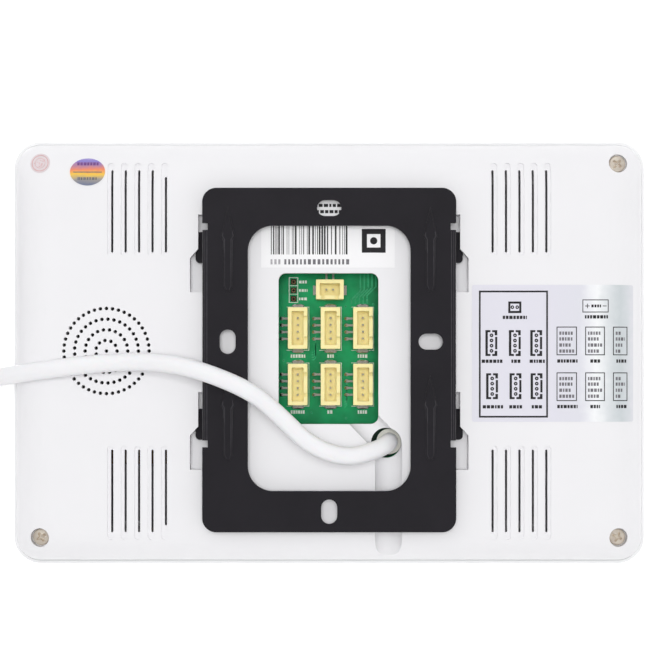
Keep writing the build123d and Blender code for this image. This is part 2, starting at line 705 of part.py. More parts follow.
def pocket_cut(hook_y, side):
    """Hook pocket: a mouth that is narrow above and wide below, over a chamber as wide as the wide
    part, so that the narrow part's edge is a ledge that holds the hook."""
    low_y, high_y = pocket_span(hook_y)
    points = [
        (side * POCKET_INNER_X, high_y),
        (side * LEDGE_X, high_y),
        (side * LEDGE_X, hook_y + POCKET_SLANT_HIGH),
        (side * ENTRY_X, hook_y + POCKET_SLANT_LOW),
        (side * ENTRY_X, low_y),
        (side * POCKET_INNER_X, low_y),
    ]
    floor_z = BODY_DEPTH - POCKET_DEPTH
    mouth = extrude(Pos(0, 0, floor_z) * make_face(Polyline(*points, close=True)), POCKET_DEPTH + CUT)
    x_range = sorted((side * POCKET_INNER_X, side * ENTRY_X))
    return mouth + span_block(x_range, (low_y, high_y), floor_z, BODY_DEPTH - LEDGE_THICKNESS)


def pocket_block(hook_y, side):
    """Material round a pocket's walls and floor."""
    low_y, high_y = pocket_span(hook_y)
    x_range = sorted((side * (POCKET_INNER_X - POCKET_WALL), side * (ENTRY_X + POCKET_WALL)))
    y_range = (low_y - POCKET_WALL, high_y + POCKET_WALL)
    return span_block(x_range, y_range, BODY_DEPTH - POCKET_DEPTH - POCKET_WALL, BODY_DEPTH)


def trough(radius, start, end):
    """Level round cutter whose lowest line is the channel's floor, from start to end."""
    centre_z = CHANNEL_FLOOR_Z + radius
    way = Vector(end[0] - start[0], end[1] - start[1], 0)
    origin = (start[0], start[1], centre_z)
    return extrude(Plane(origin=origin, z_dir=way) * Circle(radius), way.length)


def vent_cuts():
    """All grooves and all slits, as two lists of solids."""
    grooves = []
    slits = []
    for side, middle_x in ((-1, VENT_LEFT_X), (1, VENT_RIGHT_X)):
        for end, y in ((-1, VENT_BOTTOM_Y), (1, VENT_TOP_Y)):
            for i in range(VENT_COUNT):
                x = middle_x + side * VENT_PITCH * (i - (VENT_COUNT - 1) / 2)
                shorter = SLIT_SHORTER if side < 0 and i == 0 else 0.0
                slit_x = x - side * SLIT_SHIFT_X
                slit_y = y - end * (SLIT_SHIFT_Y + shorter / 2)
                grooves.append(
                    upright_slot(x, y, VENT_LENGTH, VENT_WIDTH, CEILING_Z - VENT_BELOW, BODY_DEPTH + CUT)
                )
                slits.append(
                    upright_slot(
                        slit_x,
                        slit_y,
                        SLIT_LENGTH - shorter,
                        SLIT_WIDTH,
                        FRAME_DEPTH + CUT,
                        BODY_DEPTH + CUT,
                    )
                )
    return grooves, slits


def make_rear_cover():
    outer = pillow(0.0, FRAME_DEPTH, BODY_DEPTH)
    inner = pillow(COVER_INSET, FRAME_DEPTH, CEILING_Z)
    cover = outer - inner
    blocks = [pocket_block(y, side) for y in HOOK_Y for side in (-1, 1)]
    blocks += [post(x, y, COVER_BOSS_R, FRAME_DEPTH, BODY_DEPTH) for x, y in COVER_SCREWS]
    blocks += [post(x, y, SMALL_BOSS_R, BOARD_TOP_Z, BODY_DEPTH) for x, y in MAIN_SCREWS]
    blocks += [post(x, y, SMALL_BOSS_R, BOARD_TOP_Z, BODY_DEPTH) for x, y in POWER_SCREWS]
    channel_side = CHANNEL_R + CHANNEL_WALL
    blocks.append(
        span_block(
            (CHANNEL_X - channel_side, CHANNEL_X + channel_side),
            (-COVER_HEIGHT / 2, CORD_HOLE_Y),
            CHANNEL_BLOCK_Z,
            BODY_DEPTH,
        )
    )
    blocks.append(
        post(CORD_HOLE_X, CORD_HOLE_Y, CORD_HOLE_R + CHANNEL_WALL, CHANNEL_BLOCK_Z, BODY_DEPTH)
    )
    groove_start = (GROOVE_START_X, GROOVE_START_Y)
    groove_end = (CORD_HOLE_X, CORD_HOLE_Y)
    groove_body = trough(GROOVE_R + CHANNEL_WALL, groove_start, groove_end)
    blocks.append(groove_body & span_block(GROOVE_BLOCK_X, GROOVE_BLOCK_Y, CHANNEL_BLOCK_Z, BODY_DEPTH))
    speaker_ring_r = SPEAKER_R + SPEAKER_GAP
    speaker_ring = post(
        SPEAKER_X,
        SPEAKER_Y,
        speaker_ring_r + SPEAKER_RING_WALL,
        CEILING_Z - SPEAKER_RING_HEIGHT,
        BODY_DEPTH - COVER_WALL / 2,
    )
    speaker_ring -= post(
        SPEAKER_X, SPEAKER_Y, speaker_ring_r, CEILING_Z - SPEAKER_RING_HEIGHT - CUT, BODY_DEPTH
    )
    blocks.append(speaker_ring)
    for block in blocks:
        cover += block & outer

    # Lip that centres the cover in the frame
    lip = rounded_block(
        CAVITY_WIDTH - 2 * LIP_GAP,
        CAVITY_HEIGHT - 2 * LIP_GAP,
        CAVITY_CORNER - LIP_GAP,
        FRAME_DEPTH - LIP_DEPTH,
        FRAME_DEPTH + LIP_OVERLAP,
    )
    lip -= rounded_block(
        CAVITY_WIDTH - 2 * (LIP_GAP + LIP_WALL),
        CAVITY_HEIGHT - 2 * (LIP_GAP + LIP_WALL),
        CAVITY_CORNER - LIP_GAP - LIP_WALL,
        FRAME_DEPTH - LIP_DEPTH - CUT,
        FRAME_DEPTH + CUT,
    )
    for x, y in COVER_SCREWS:
        lip -= post(x, y, BOSS_R + LIP_GAP, FRAME_DEPTH - LIP_DEPTH - CUT, FRAME_DEPTH)
    cover += lip

    # Openings
    cutters = [pocket_cut(y, side) for y in HOOK_Y for side in (-1, 1)]
    cutters.append(
        rounded_block(
            WINDOW_WIDTH,
            WINDOW_HEIGHT,
            WINDOW_CORNER,
            BOARD_TOP_Z,
            BODY_DEPTH + CUT,
            WINDOW_X,
            WINDOW_Y,
        )
    )
    cutters.append(post(CORD_HOLE_X, CORD_HOLE_Y, CORD_HOLE_R, BOARD_TOP_Z, BODY_DEPTH + CUT))
    cutters.append(trough(CHANNEL_R, (CHANNEL_X, CORD_HOLE_Y), (CHANNEL_X, -BODY_HEIGHT / 2)))
    cutters.append(trough(GROOVE_R, groove_start, groove_end))
    for x, y in COVER_SCREWS:
        cutters.append(post(x, y, SCREW_SHANK_R + 0.2, FRAME_DEPTH - CUT, SCREW_SEAT_Z))
        cutters.append(post(x, y, SCREW_RECESS_R, SCREW_SEAT_Z, BODY_DEPTH + CUT))
    for x, y in MAIN_SCREWS + POWER_SCREWS:
        cutters.append(post(x, y, SMALL_SHANK_R, BOARD_TOP_Z - CUT, BOARD_Z + SMALL_SCREW_LENGTH))
    for cutter in cutters:
        cover -= cutter

    # Grille
    holes = [Pos(SPEAKER_X, SPEAKER_Y, CEILING_Z - CUT / 2) * Circle(GRILLE_HOLE_R)]
    for ring in range(1, GRILLE_RINGS + 1):
        count = GRILLE_HOLES_PER_RING * ring
        for i in range(count):
            turn = 2 * math.pi * i / count
            x = SPEAKER_X + GRILLE_RING_PITCH * ring * math.cos(turn)
            y = SPEAKER_Y + GRILLE_RING_PITCH * ring * math.sin(turn)
            holes.append(Pos(x, y, CEILING_Z - CUT / 2) * Circle(GRILLE_HOLE_R))
    cover -= extrude(Sketch() + holes, COVER_WALL + CUT)

    # Vents
    below_skin = Pos(0, 0, -VENT_SINK) * outer
    grooves, slits = vent_cuts()
    cover -= Compound([groove - below_skin for groove in grooves])
    cover -= Compound(slits)
    return cover


# ---- labels ------------------------------------------------------------------------------------

def make_rating_label():
    return span_block(RATING_LABEL_X, RATING_LABEL_Y, BODY_DEPTH, BODY_DEPTH + LABEL_THICKNESS)


def skin_over(outline):
    """Thin skin on the cover's outer surface, within an outline."""
    outer = pillow(0.0, FRAME_DEPTH, BODY_DEPTH)
    prism = extrude(outline, BODY_DEPTH + CUT)
    return (prism & (Pos(0, 0, CURVED_LABEL_LIFT) * outer)) - outer


def make_wiring_label():
    width = WIRING_LABEL_X[1] - WIRING_LABEL_X[0]
    height = WIRING_LABEL_Y[1] - WIRING_LABEL_Y[0]
    place = Pos(sum(WIRING_LABEL_X) / 2, sum(WIRING_LABEL_Y) / 2, FRAME_DEPTH)
    return skin_over(place * RectangleRounded(width, height, 0.6))


def make_inspection_sticker():
    place = Pos(OVAL_STICKER_X, OVAL_STICKER_Y, FRAME_DEPTH)
    return skin_over(place * Ellipse(OVAL_STICKER_SIZE[0] / 2, OVAL_STICKER_SIZE[1] / 2))


def make_seal_sticker():
    return skin_over(Pos(-SCREW_X, SCREW_TOP_Y, FRAME_DEPTH) * Circle(SEAL_STICKER_R))


# ---- wall bracket ------------------------------------------------------------------------------

def spear(x, y):
    """Raised rib in the form of an upright spear."""
    top = y + SPEAR_LENGTH / 2
    neck = top - SPEAR_HEAD_LENGTH
    foot = y - SPEAR_LENGTH / 2 + SPEAR_SHAFT_HALF
    points = [
        (x, top),
        (x - SPEAR_HEAD_HALF, neck),
        (x - SPEAR_SHAFT_HALF, neck - SPEAR_NECK),
        (x - SPEAR_SHAFT_HALF, foot),
        (x - SPEAR_SHAFT_HALF / 2, foot - SPEAR_SHAFT_HALF),
    ]
    mirrored = [(2 * x - px, py) for px, py in points[:0:-1]]
    outline = make_face(Polyline(*points, *mirrored, close=True))
    rib = extrude(Pos(0, 0, BRACKET_TOP_Z + SPEAR_RISE) * outline, -(SPEAR_RISE + SPEAR_ROOT))
    return chamfer(rib.faces().sort_by(Axis.Z)[-1].edges(), SPEAR_EDGE)


def make_wall_bracket():
    bracket = rounded_block(
        BRACKET_WIDTH, BRACKET_HEIGHT, BRACKET_CORNER, BRACKET_Z, BRACKET_TOP_Z, 0, BRACKET_Y
    )
    flange_low_y = HOOK_BOTTOM_Y - HOOK_LENGTH / 2
    flange_high_y = HOOK_TOP_Y + HOOK_LENGTH / 2
    for side in (-1, 1):
        x_range = sorted((side * (FLANGE_X - BRACKET_THICKNESS), side * FLANGE_X))
        bracket += span_block(
            x_range, (flange_low_y, flange_high_y), BODY_DEPTH + FLANGE_GAP, BRACKET_TOP_Z
        )
        for y in HOOK_Y:
            y_range = (y - HOOK_LENGTH / 2, y + HOOK_LENGTH / 2)
            bracket += span_block(x_range, y_range, HOOK_Z, BRACKET_TOP_Z)
            lip_range = sorted((side * (FLANGE_X - BRACKET_THICKNESS), side * HOOK_TIP_X))
            lip = span_block(lip_range, y_range, HOOK_Z, HOOK_Z + BRACKET_THICKNESS)
            tips = lip.edges().filter_by(Axis.Z).filter_by(lambda e: abs(e.center().X) > FLANGE_X)
            bracket += fillet(tips, HOOK_TIP_ROUND)
        notch_x = sorted((side * (FLANGE_X - NOTCH_DEPTH), side * (FLANGE_X + CUT)))
        for y_range in (
            (flange_high_y, flange_high_y + NOTCH_HEIGHT),
            (flange_low_y - NOTCH_HEIGHT, flange_low_y),
        ):
            bracket -= span_block(notch_x, y_range, BRACKET_Z - CUT, BRACKET_TOP_Z + CUT)
    bends = [
        e
        for e in bracket.edges().filter_by(Axis.Y)
        if abs(e.center().Z - BRACKET_TOP_Z) < 0.01
        and abs(abs(e.center().X) - FLANGE_X) < 0.01
        and flange_low_y - 0.1 < e.center().Y < flange_high_y + 0.1
    ]
    bracket = fillet(bends, BEND_ROUND)
    bracket -= rounded_block(
        BRACKET_WINDOW_WIDTH,
        BRACKET_WINDOW_HEIGHT,
        BRACKET_WINDOW_CORNER,
        BRACKET_Z - CUT,
        BRACKET_TOP_Z + CUT,
        0,
        BRACKET_WINDOW_Y,
    )
    low = BRACKET_Z - CUT
    high = BRACKET_TOP_Z + CUT
    bracket -= upright_slot(-WALL_SLOT_X, WALL_SLOT_SIDE_Y, WALL_SLOT_LENGTH, WALL_SLOT_WIDTH, low, high)
    bracket -= upright_slot(0, WALL_SLOT_BOTTOM_Y, WALL_SLOT_LENGTH, WALL_SLOT_WIDTH, low, high)
    for x, y in ((WALL_SLOT_X, WALL_SLOT_SIDE_Y), (0, WALL_SLOT_TOP_Y)):
        bracket -= extrude(Pos(x, y, low) * SlotOverall(WALL_SLOT_LENGTH, WALL_SLOT_WIDTH), high - low)
    for x in (-SPEAR_X, SPEAR_X):
        for y in (SPEAR_TOP_Y, SPEAR_BOTTOM_Y):
            bracket += spear(x, y)
    return bracket


# ---- mains cord, coil and plug -----------------------------------------------------------------

CORD_ROUTE = [
    (17.6, -26.2, CORD_START_Z),
    (17.6, -26.2, BODY_DEPTH + 0.6),
    (13.6, -28.4, BODY_DEPTH + 6.2),
    (4.6, -30.6, BODY_DEPTH + 9.4),
    (-5.6, -26.8, BODY_DEPTH + 11.2),
    (-13.8, -18.9, BODY_DEPTH + 12.2),
    (-22.0, -12.0, BODY_DEPTH + 12.6),
    (-38.0, -5.9, BODY_DEPTH + 12.6),
    (-50.0, -3.4, BODY_DEPTH + 8.8),
    (-60.0, -3.1, BODY_DEPTH + 5.4),
    (EDGE_X + 23.5, -3.8, BODY_DEPTH + 4.4),
    (EDGE_X + 14.0, -5.0, BODY_DEPTH + 4.0),
    (EDGE_X + 5.0, -6.3, BODY_DEPTH + 2.0),
    (EDGE_X - 3.0, -7.4, BODY_DEPTH - 2.6),
    (EDGE_X - 10.0, -8.6, 13.0),
    (EDGE_X - 17.0, -9.8, 7.4),
    (EDGE_X - 25.0, -11.2, 4.1),
    (EDGE_X - 34.0, COIL_Y - COIL_MIDDLE_R - COIL_PITCH, COIL_BASE_Z),
    (COIL_X + COIL_ENTRY_STUB, COIL_Y - COIL_MIDDLE_R - COIL_PITCH, COIL_BASE_Z),
]


def coil_exit(distance):
    """Point at a distance along the line on which the cord leaves the coil's top turn."""
    turn = math.radians(COIL_EXIT_AT)
    x = COIL_X + COIL_MIDDLE_R * math.cos(turn) + distance * math.sin(turn)
    y = COIL_Y + COIL_MIDDLE_R * math.sin(turn) - distance * math.cos(turn)
    return (x, y, COIL_BASE_Z + 2 * COIL_ROW_RISE)


TAIL_ROUTE = [
    coil_exit(COIL_EXIT_STUB),
    coil_exit(COIL_EXIT_STUB + 15),
    (PLUG_X + 46.8, PLUG_START_Y - 37.4, 8.6),
    (PLUG_X + 28.2, PLUG_START_Y - 41.1, 4.6),
    (PLUG_X + 10.6, PLUG_START_Y - 33.8, 2.9),
    (PLUG_X, PLUG_START_Y - 18, PLUG_AXIS_Z),
    (PLUG_X, PLUG_START_Y, PLUG_AXIS_Z),
]


def coil_section(grow):
    """Section of the tied coil: three turns at the floor, three on them and one on top."""
    low = COIL_TIE_THICKNESS - grow
    shoulder = COIL_BASE_Z + COIL_ROW_RISE + 0.6 * CORD_R + grow
    high = COIL_BASE_Z + 2 * COIL_ROW_RISE + CORD_R + COIL_SLACK + grow
    wide = COIL_PITCH + CORD_R + COIL_SLACK + grow
    narrow = CORD_R + COIL_TOP_EASE + grow
    points = [
        (COIL_MIDDLE_R - wide, low),
        (COIL_MIDDLE_R + wide, low),
        (COIL_MIDDLE_R + wide, shoulder),
        (COIL_MIDDLE_R + narrow, high),
        (COIL_MIDDLE_R - narrow, high),
        (COIL_MIDDLE_R - wide, shoulder),
    ]
    return make_face(Polyline(*[(r, 0, z) for r, z in points], close=True))


def make_coil():
    coil = Pos(COIL_X, COIL_Y, 0) * revolve(coil_section(0.0), Axis.Z)
    entry = Plane(origin=CORD_ROUTE[-1], z_dir=(-1, 0, 0)) * Circle(CORD_R)
    coil += extrude(entry, COIL_ENTRY_STUB)
    start = Vector(*coil_exit(0))
    end = Vector(*coil_exit(COIL_EXIT_STUB))
    coil += extrude(Plane(origin=start, z_dir=end - start) * Circle(CORD_R), COIL_EXIT_STUB)
    return coil


def make_coil_tie():
    band = coil_section(COIL_TIE_THICKNESS) - coil_section(0.0)
    turned = revolve(band, Axis.Z, COIL_TIE_ANGLE)
    return Pos(COIL_X, COIL_Y, 0) * Rot(0, 0, COIL_TIE_AT) * turned


def make_cord_tie():
    """Nylon tie that stops the sheath from pulling out through the hole."""
    x, y, low = CORD_ROUTE[0]
    tie = post(x, y, CORD_TIE_R, low, low + CORD_TIE_WIDTH)
    tie += span_block(
        (x + CORD_TIE_HEAD_X[0], x + CORD_TIE_HEAD_X[1]),
        (y - CORD_TIE_HEAD_HALF, y + CORD_TIE_HEAD_HALF),
        low,
        low + CORD_TIE_WIDTH,
    )
    return tie - post(x, y, CORD_R, low - CUT, low + CORD_TIE_WIDTH + CUT)


def make_conductors():
    x, y, high = CORD_ROUTE[0]
    half = CONDUCTOR_SPACING / 2
    return Compound([post(x + side * half, y, CONDUCTOR_R, BOARD_TOP_Z, high) for side in (-1, 1)])


def make_plug_sleeve():
    start = Plane(origin=(PLUG_X, PLUG_START_Y, PLUG_AXIS_Z), z_dir=(0, 1, 0))
    end = Plane(origin=(PLUG_X, PLUG_BODY_Y, PLUG_AXIS_Z), z_dir=(0, 1, 0))
    return loft([start * Circle(PLUG_SLEEVE_R[0]), end * Circle(PLUG_SLEEVE_R[1])])


def make_plug_body():
    half = PLUG_WIDTH / 2
    points = [
        (-PLUG_NECK_HALF, PLUG_BODY_Y),
        (PLUG_NECK_HALF, PLUG_BODY_Y),
        (half, PLUG_FACE_Y - PLUG_SHOULDER),
        (half, PLUG_FACE_Y - PLUG_NOSE),
        (half - PLUG_NOSE_INSET, PLUG_FACE_Y),
        (-half + PLUG_NOSE_INSET, PLUG_FACE_Y),
        (-half, PLUG_FACE_Y - PLUG_NOSE),
        (-half, PLUG_FACE_Y - PLUG_SHOULDER),
    ]
    face = Pos(PLUG_X, 0, 0) * make_face(Polyline(*points, close=True))
    body = extrude(face, PLUG_THICKNESS)
    body = fillet(body.edges().filter_by(Axis.Z), PLUG_CORNER)
    rims = body.faces().sort_by(Axis.Z)[0].edges() + body.faces().sort_by(Axis.Z)[-1].edges()
    return fillet(rims, PLUG_EDGE)


def make_plug_pins():
    pins = []
    for side in (-1, 1):
        origin = (PLUG_X + side * PLUG_PIN_SPACING / 2, PLUG_FACE_Y, PLUG_AXIS_Z)
        pin = extrude(Plane(origin=origin, z_dir=(0, 1, 0)) * Circle(PLUG_PIN_R), PLUG_PIN_LENGTH)
        pins.append(fillet(pin.faces().sort_by(Axis.Y)[-1].edges(), PLUG_PIN_TIP))
    return Compound(pins)


# ---- fasteners and small internal pieces -------------------------------------------------------

def make_cover_screw(x, y):
    head = post(x, y, SCREW_HEAD_R, SCREW_SEAT_Z, SCREW_SEAT_Z + SCREW_HEAD_HEIGHT)
    head = fillet(head.faces().sort_by(Axis.Z)[-1].edges(), 0.5)
    shank = post(x, y, SCREW_SHANK_R, SCREW_TIP_Z, SCREW_SEAT_Z)
    arm, arm_width = SCREW_CROSS
    cross = Pos(x, y, SCREW_SEAT_Z + SCREW_HEAD_HEIGHT - SCREW_CROSS_DEPTH) * (
        Rectangle(arm, arm_width) + Rectangle(arm_width, arm)
    )
    return head + shank - extrude(cross, SCREW_CROSS_DEPTH + CUT)


def make_board_screws():
    screws = [small_screw(x, y, BOARD_Z, 1) for x, y in MAIN_SCREWS + POWER_SCREWS]
    return Compound(screws)


def make_frame_screws():
    screws = [small_screw(x, y, LCD_TOP_Z, -1) for x, y in LCD_SCREWS]
    screws += [small_screw(x, y, KEY_BOARD_Z + KEY_BOARD_THICKNESS, -1) for x, y in KEY_SCREWS]
    return Compound(screws)


def make_transformer():
    width, depth, height = TRANSFORMER_SIZE
    core = rounded_block(
        width, depth, 0.8, BOARD_TOP_Z, BOARD_TOP_Z + height, TRANSFORMER_X, TRANSFORMER_Y
    )
    return fillet(core.faces().sort_by(Axis.Z)[-1].outer_wire().edges(), 0.6)


def make_capacitor(y):
    """Electrolytic capacitor lying on its side."""
    origin = (CAPACITOR_X - CAPACITOR_LENGTH / 2, y, BOARD_TOP_Z + CAPACITOR_R)
    can = extrude(Plane(origin=origin, z_dir=(1, 0, 0)) * Circle(CAPACITOR_R), CAPACITOR_LENGTH)
    return fillet(can.edges().filter_by(GeomType.CIRCLE), 0.5)


def bent_strip(points, thickness, y_range):
    """Flat cable as a bent line of (x, z) points with a thickness, as wide as the range of y."""
    upper = [(x, y_range[0], z + thickness) for x, z in points]
    lower = [(x, y_range[0], z) for x, z in points]
    face = make_face(Polyline(*lower, *reversed(upper), close=True))
    return extrude(face, amount=y_range[1] - y_range[0], dir=(0, 1, 0))


def make_key_ribbon():
    """From the key board over the back of the screen to the main board's underside."""
    board_top = KEY_BOARD_Z + KEY_BOARD_THICKNESS
    points = [
        (KEY_X + 3.0, board_top),
        (KEY_X + 6.0, board_top + 0.3),
        (LCD_LEFT_X + 2.3, LCD_TOP_Z + 0.5),
        (-44.0, LCD_TOP_Z + 0.5),
        (-37.0, BOARD_Z - RIBBON_THICKNESS),
        (-34.0, BOARD_Z - RIBBON_THICKNESS),
    ]
    return bent_strip(points, RIBBON_THICKNESS, KEY_RIBBON_Y)


def make_lcd_ribbon():
    """From the back of the screen to the main board's underside."""
    points = [
        (-22.0, LCD_TOP_Z),
        (-12.0, LCD_TOP_Z),
        (-5.0, BOARD_Z - RIBBON_THICKNESS),
        (3.0, BOARD_Z - RIBBON_THICKNESS),
    ]
    return bent_strip(points, RIBBON_THICKNESS, LCD_RIBBON_Y)


# ---- writing the nodes -------------------------------------------------------------------------

save("front_frame", make_front_frame())
save("front_glass", make_front_glass())
save("lcd_panel", make_lcd_panel())
save("lcd_tray", make_lcd_tray())
save("lcd_ribbon", make_lcd_ribbon())
save("key_ribbon", make_key_ribbon())
save("key_board", make_key_board())
for number, key_y in enumerate(KEY_Y, 1):
    save(f"key_{number}", make_key(key_y))
    save(f"switch_plunger_{number}", make_switch_plunger(key_y))
save("switch_cases", Compound([make_switch_case(key_y) for key_y in KEY_Y]))
save("microphone_boot", make_microphone_boot())
save("microphone_capsule", make_microphone_capsule())
save("main_board", make_main_board())
save("power_board", make_power_board())
save("mains_transformer", make_transformer())
save("filter_capacitors", Compound([make_capacitor(y) for y in CAPACITOR_Y]))
SIGNAL_PLACES = [connector_place(x, y, 0) for y in CONNECTOR_ROW_Y for x in CONNECTOR_COLUMN_X]
for number, place in enumerate(SIGNAL_PLACES, 1):
    save(f"signal_connector_{number}", make_connector(SIGNAL_PINS, place))
    save(f"signal_contacts_{number}", make_contacts(SIGNAL_PINS, place))
POWER_PLACE = connector_place(POWER_CONNECTOR_X, POWER_CONNECTOR_Y, -90)
save("power_connector", make_connector(POWER_PINS, POWER_PLACE))
save("power_contacts", make_contacts(POWER_PINS, POWER_PLACE))
save("speaker_gasket", make_speaker_gasket())
save("speaker_frame", make_speaker_frame())
save("speaker_magnet", make_speaker_magnet())
save("speaker_cone", make_speaker_cone())
save("rear_cover", make_rear_cover())
save("cover_screws", Compound([make_cover_screw(x, y) for x, y in COVER_SCREWS]))
save("board_screws", make_board_screws())
save("frame_screws", make_frame_screws())
save("rating_label", make_rating_label())
save("wiring_label", make_wiring_label())
save("inspection_sticker", make_inspection_sticker())
save("seal_sticker", make_seal_sticker())
save("wall_bracket", make_wall_bracket())
save("cord_tie", make_cord_tie())
save("cord_conductors", make_conductors())
print("power_cord")
save("power_cord", tube(CORD_ROUTE, CORD_R))
save("power_cord_coil", make_coil())
save("coil_tie", make_coil_tie())
print("power_cord_tail")
save("power_cord_tail", tube(TAIL_ROUTE, CORD_R))
save("plug_sleeve", make_plug_sleeve())
save("plug_body", make_plug_body())
save("plug_pins", make_plug_pins())
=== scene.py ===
import bpy
import bmesh
import json
import math
import random
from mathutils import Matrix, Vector
from mathutils.bvhtree import BVHTree


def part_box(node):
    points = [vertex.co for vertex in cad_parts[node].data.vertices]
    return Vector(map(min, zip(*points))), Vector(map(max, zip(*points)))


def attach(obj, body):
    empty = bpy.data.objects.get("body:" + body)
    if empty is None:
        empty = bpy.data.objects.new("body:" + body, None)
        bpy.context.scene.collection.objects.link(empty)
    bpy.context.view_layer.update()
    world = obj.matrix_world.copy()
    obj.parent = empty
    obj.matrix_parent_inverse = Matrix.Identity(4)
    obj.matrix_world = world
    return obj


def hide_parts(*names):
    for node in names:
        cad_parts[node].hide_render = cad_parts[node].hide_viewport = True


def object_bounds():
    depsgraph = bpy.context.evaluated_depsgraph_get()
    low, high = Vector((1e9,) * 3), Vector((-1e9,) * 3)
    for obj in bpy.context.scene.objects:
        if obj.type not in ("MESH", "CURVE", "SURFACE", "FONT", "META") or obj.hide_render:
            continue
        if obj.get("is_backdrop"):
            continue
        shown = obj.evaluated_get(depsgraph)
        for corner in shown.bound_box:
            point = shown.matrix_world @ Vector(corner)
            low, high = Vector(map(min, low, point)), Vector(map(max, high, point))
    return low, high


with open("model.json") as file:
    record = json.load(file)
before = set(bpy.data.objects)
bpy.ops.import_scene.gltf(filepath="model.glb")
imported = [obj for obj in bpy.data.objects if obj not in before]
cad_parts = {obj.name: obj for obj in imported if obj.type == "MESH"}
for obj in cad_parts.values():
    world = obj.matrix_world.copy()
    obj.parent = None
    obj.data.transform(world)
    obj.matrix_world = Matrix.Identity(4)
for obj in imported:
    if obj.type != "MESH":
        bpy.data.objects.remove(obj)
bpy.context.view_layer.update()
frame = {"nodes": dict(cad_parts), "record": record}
nodes = frame["nodes"]
MM = 0.001
scene = bpy.context.scene

# ---- camera: straight above, as the photograph's ------------------------------------------------

CAMERA_X, CAMERA_Y, CAMERA_HEIGHT = -0.2, -11.1, 539
CAMERA_LENS = 97.7
CAMERA_SENSOR = 36.0
CAMERA_SHIFT_Y = 0.0936

camera_data = bpy.data.cameras.new("camera")
camera_data.lens = CAMERA_LENS
camera_data.sensor_width = CAMERA_SENSOR
camera_data.shift_y = CAMERA_SHIFT_Y
camera_data.clip_start = 0.01
camera_data.clip_end = 10.0
camera = bpy.data.objects.new("camera", camera_data)
camera.location = (CAMERA_X * MM, CAMERA_Y * MM, CAMERA_HEIGHT * MM)
camera.rotation_euler = (0, 0, 0)
scene.collection.objects.link(camera)
scene.camera = camera
scene.view_settings.view_transform = "Standard"
scene.view_settings.look = "None"


# ---- materials ----------------------------------------------------------------------------------

NOISE_ROUGHNESS = 0.55
NOISE_LOW, NOISE_HIGH = 0.3, 0.7
BUMP_HEIGHT = 0.05


def material(name, color, rough, metallic=0.0, vary=0.04, vary_scale=60.0, grain=0.0,
             grain_scale=2500.0, rough_vary=0.05, **shader):
    """Procedural material: slow colour change, roughness change and a fine bump."""
    mat = bpy.data.materials.new(name)
    mat.use_nodes = True
    tree = mat.node_tree
    links = tree.links
    bsdf = tree.nodes["Principled BSDF"]
    coords = tree.nodes.new("ShaderNodeTexCoord")

    def noise(scale, detail):
        node = tree.nodes.new("ShaderNodeTexNoise")
        node.inputs["Scale"].default_value = scale
        node.inputs["Detail"].default_value = detail
        node.inputs["Roughness"].default_value = NOISE_ROUGHNESS
        links.new(coords.outputs["Object"], node.inputs["Vector"])
        return node

    def span(source, low, high):
        node = tree.nodes.new("ShaderNodeMapRange")
        node.inputs["From Min"].default_value = NOISE_LOW
        node.inputs["From Max"].default_value = NOISE_HIGH
        node.inputs["To Min"].default_value = low
        node.inputs["To Max"].default_value = high
        links.new(source, node.inputs["Value"])
        return node.outputs["Result"]

    slow = noise(vary_scale, 3.0)
    mix = tree.nodes.new("ShaderNodeMix")
    mix.data_type = "RGBA"
    links.new(span(slow.outputs["Fac"], 0.0, 1.0), mix.inputs["Factor"])
    mix.inputs["A"].default_value = (*[c * (1 - vary) for c in color], 1)
    mix.inputs["B"].default_value = (*[min(c * (1 + vary), 1.0) for c in color], 1)
    links.new(mix.outputs["Result"], bsdf.inputs["Base Color"])
    rough_noise = noise(vary_scale * 6, 4.0)
    links.new(span(rough_noise.outputs["Fac"], rough - rough_vary, rough + rough_vary),
              bsdf.inputs["Roughness"])
    bsdf.inputs["Metallic"].default_value = metallic
    if grain:
        fine = noise(grain_scale, 2.0)
        bump = tree.nodes.new("ShaderNodeBump")
        bump.inputs["Strength"].default_value = grain
        bump.inputs["Distance"].default_value = BUMP_HEIGHT * MM
        links.new(fine.outputs["Fac"], bump.inputs["Height"])
        links.new(bump.outputs["Normal"], bsdf.inputs["Normal"])
    for key, value in shader.items():
        bsdf.inputs[key.replace("_", " ")].default_value = value
    return mat


def linear(shade):
    """Scene colour of a display colour."""
    return tuple(c / 12.92 if c <= 0.04045 else ((c + 0.055) / 1.055) ** 2.4 for c in shade)


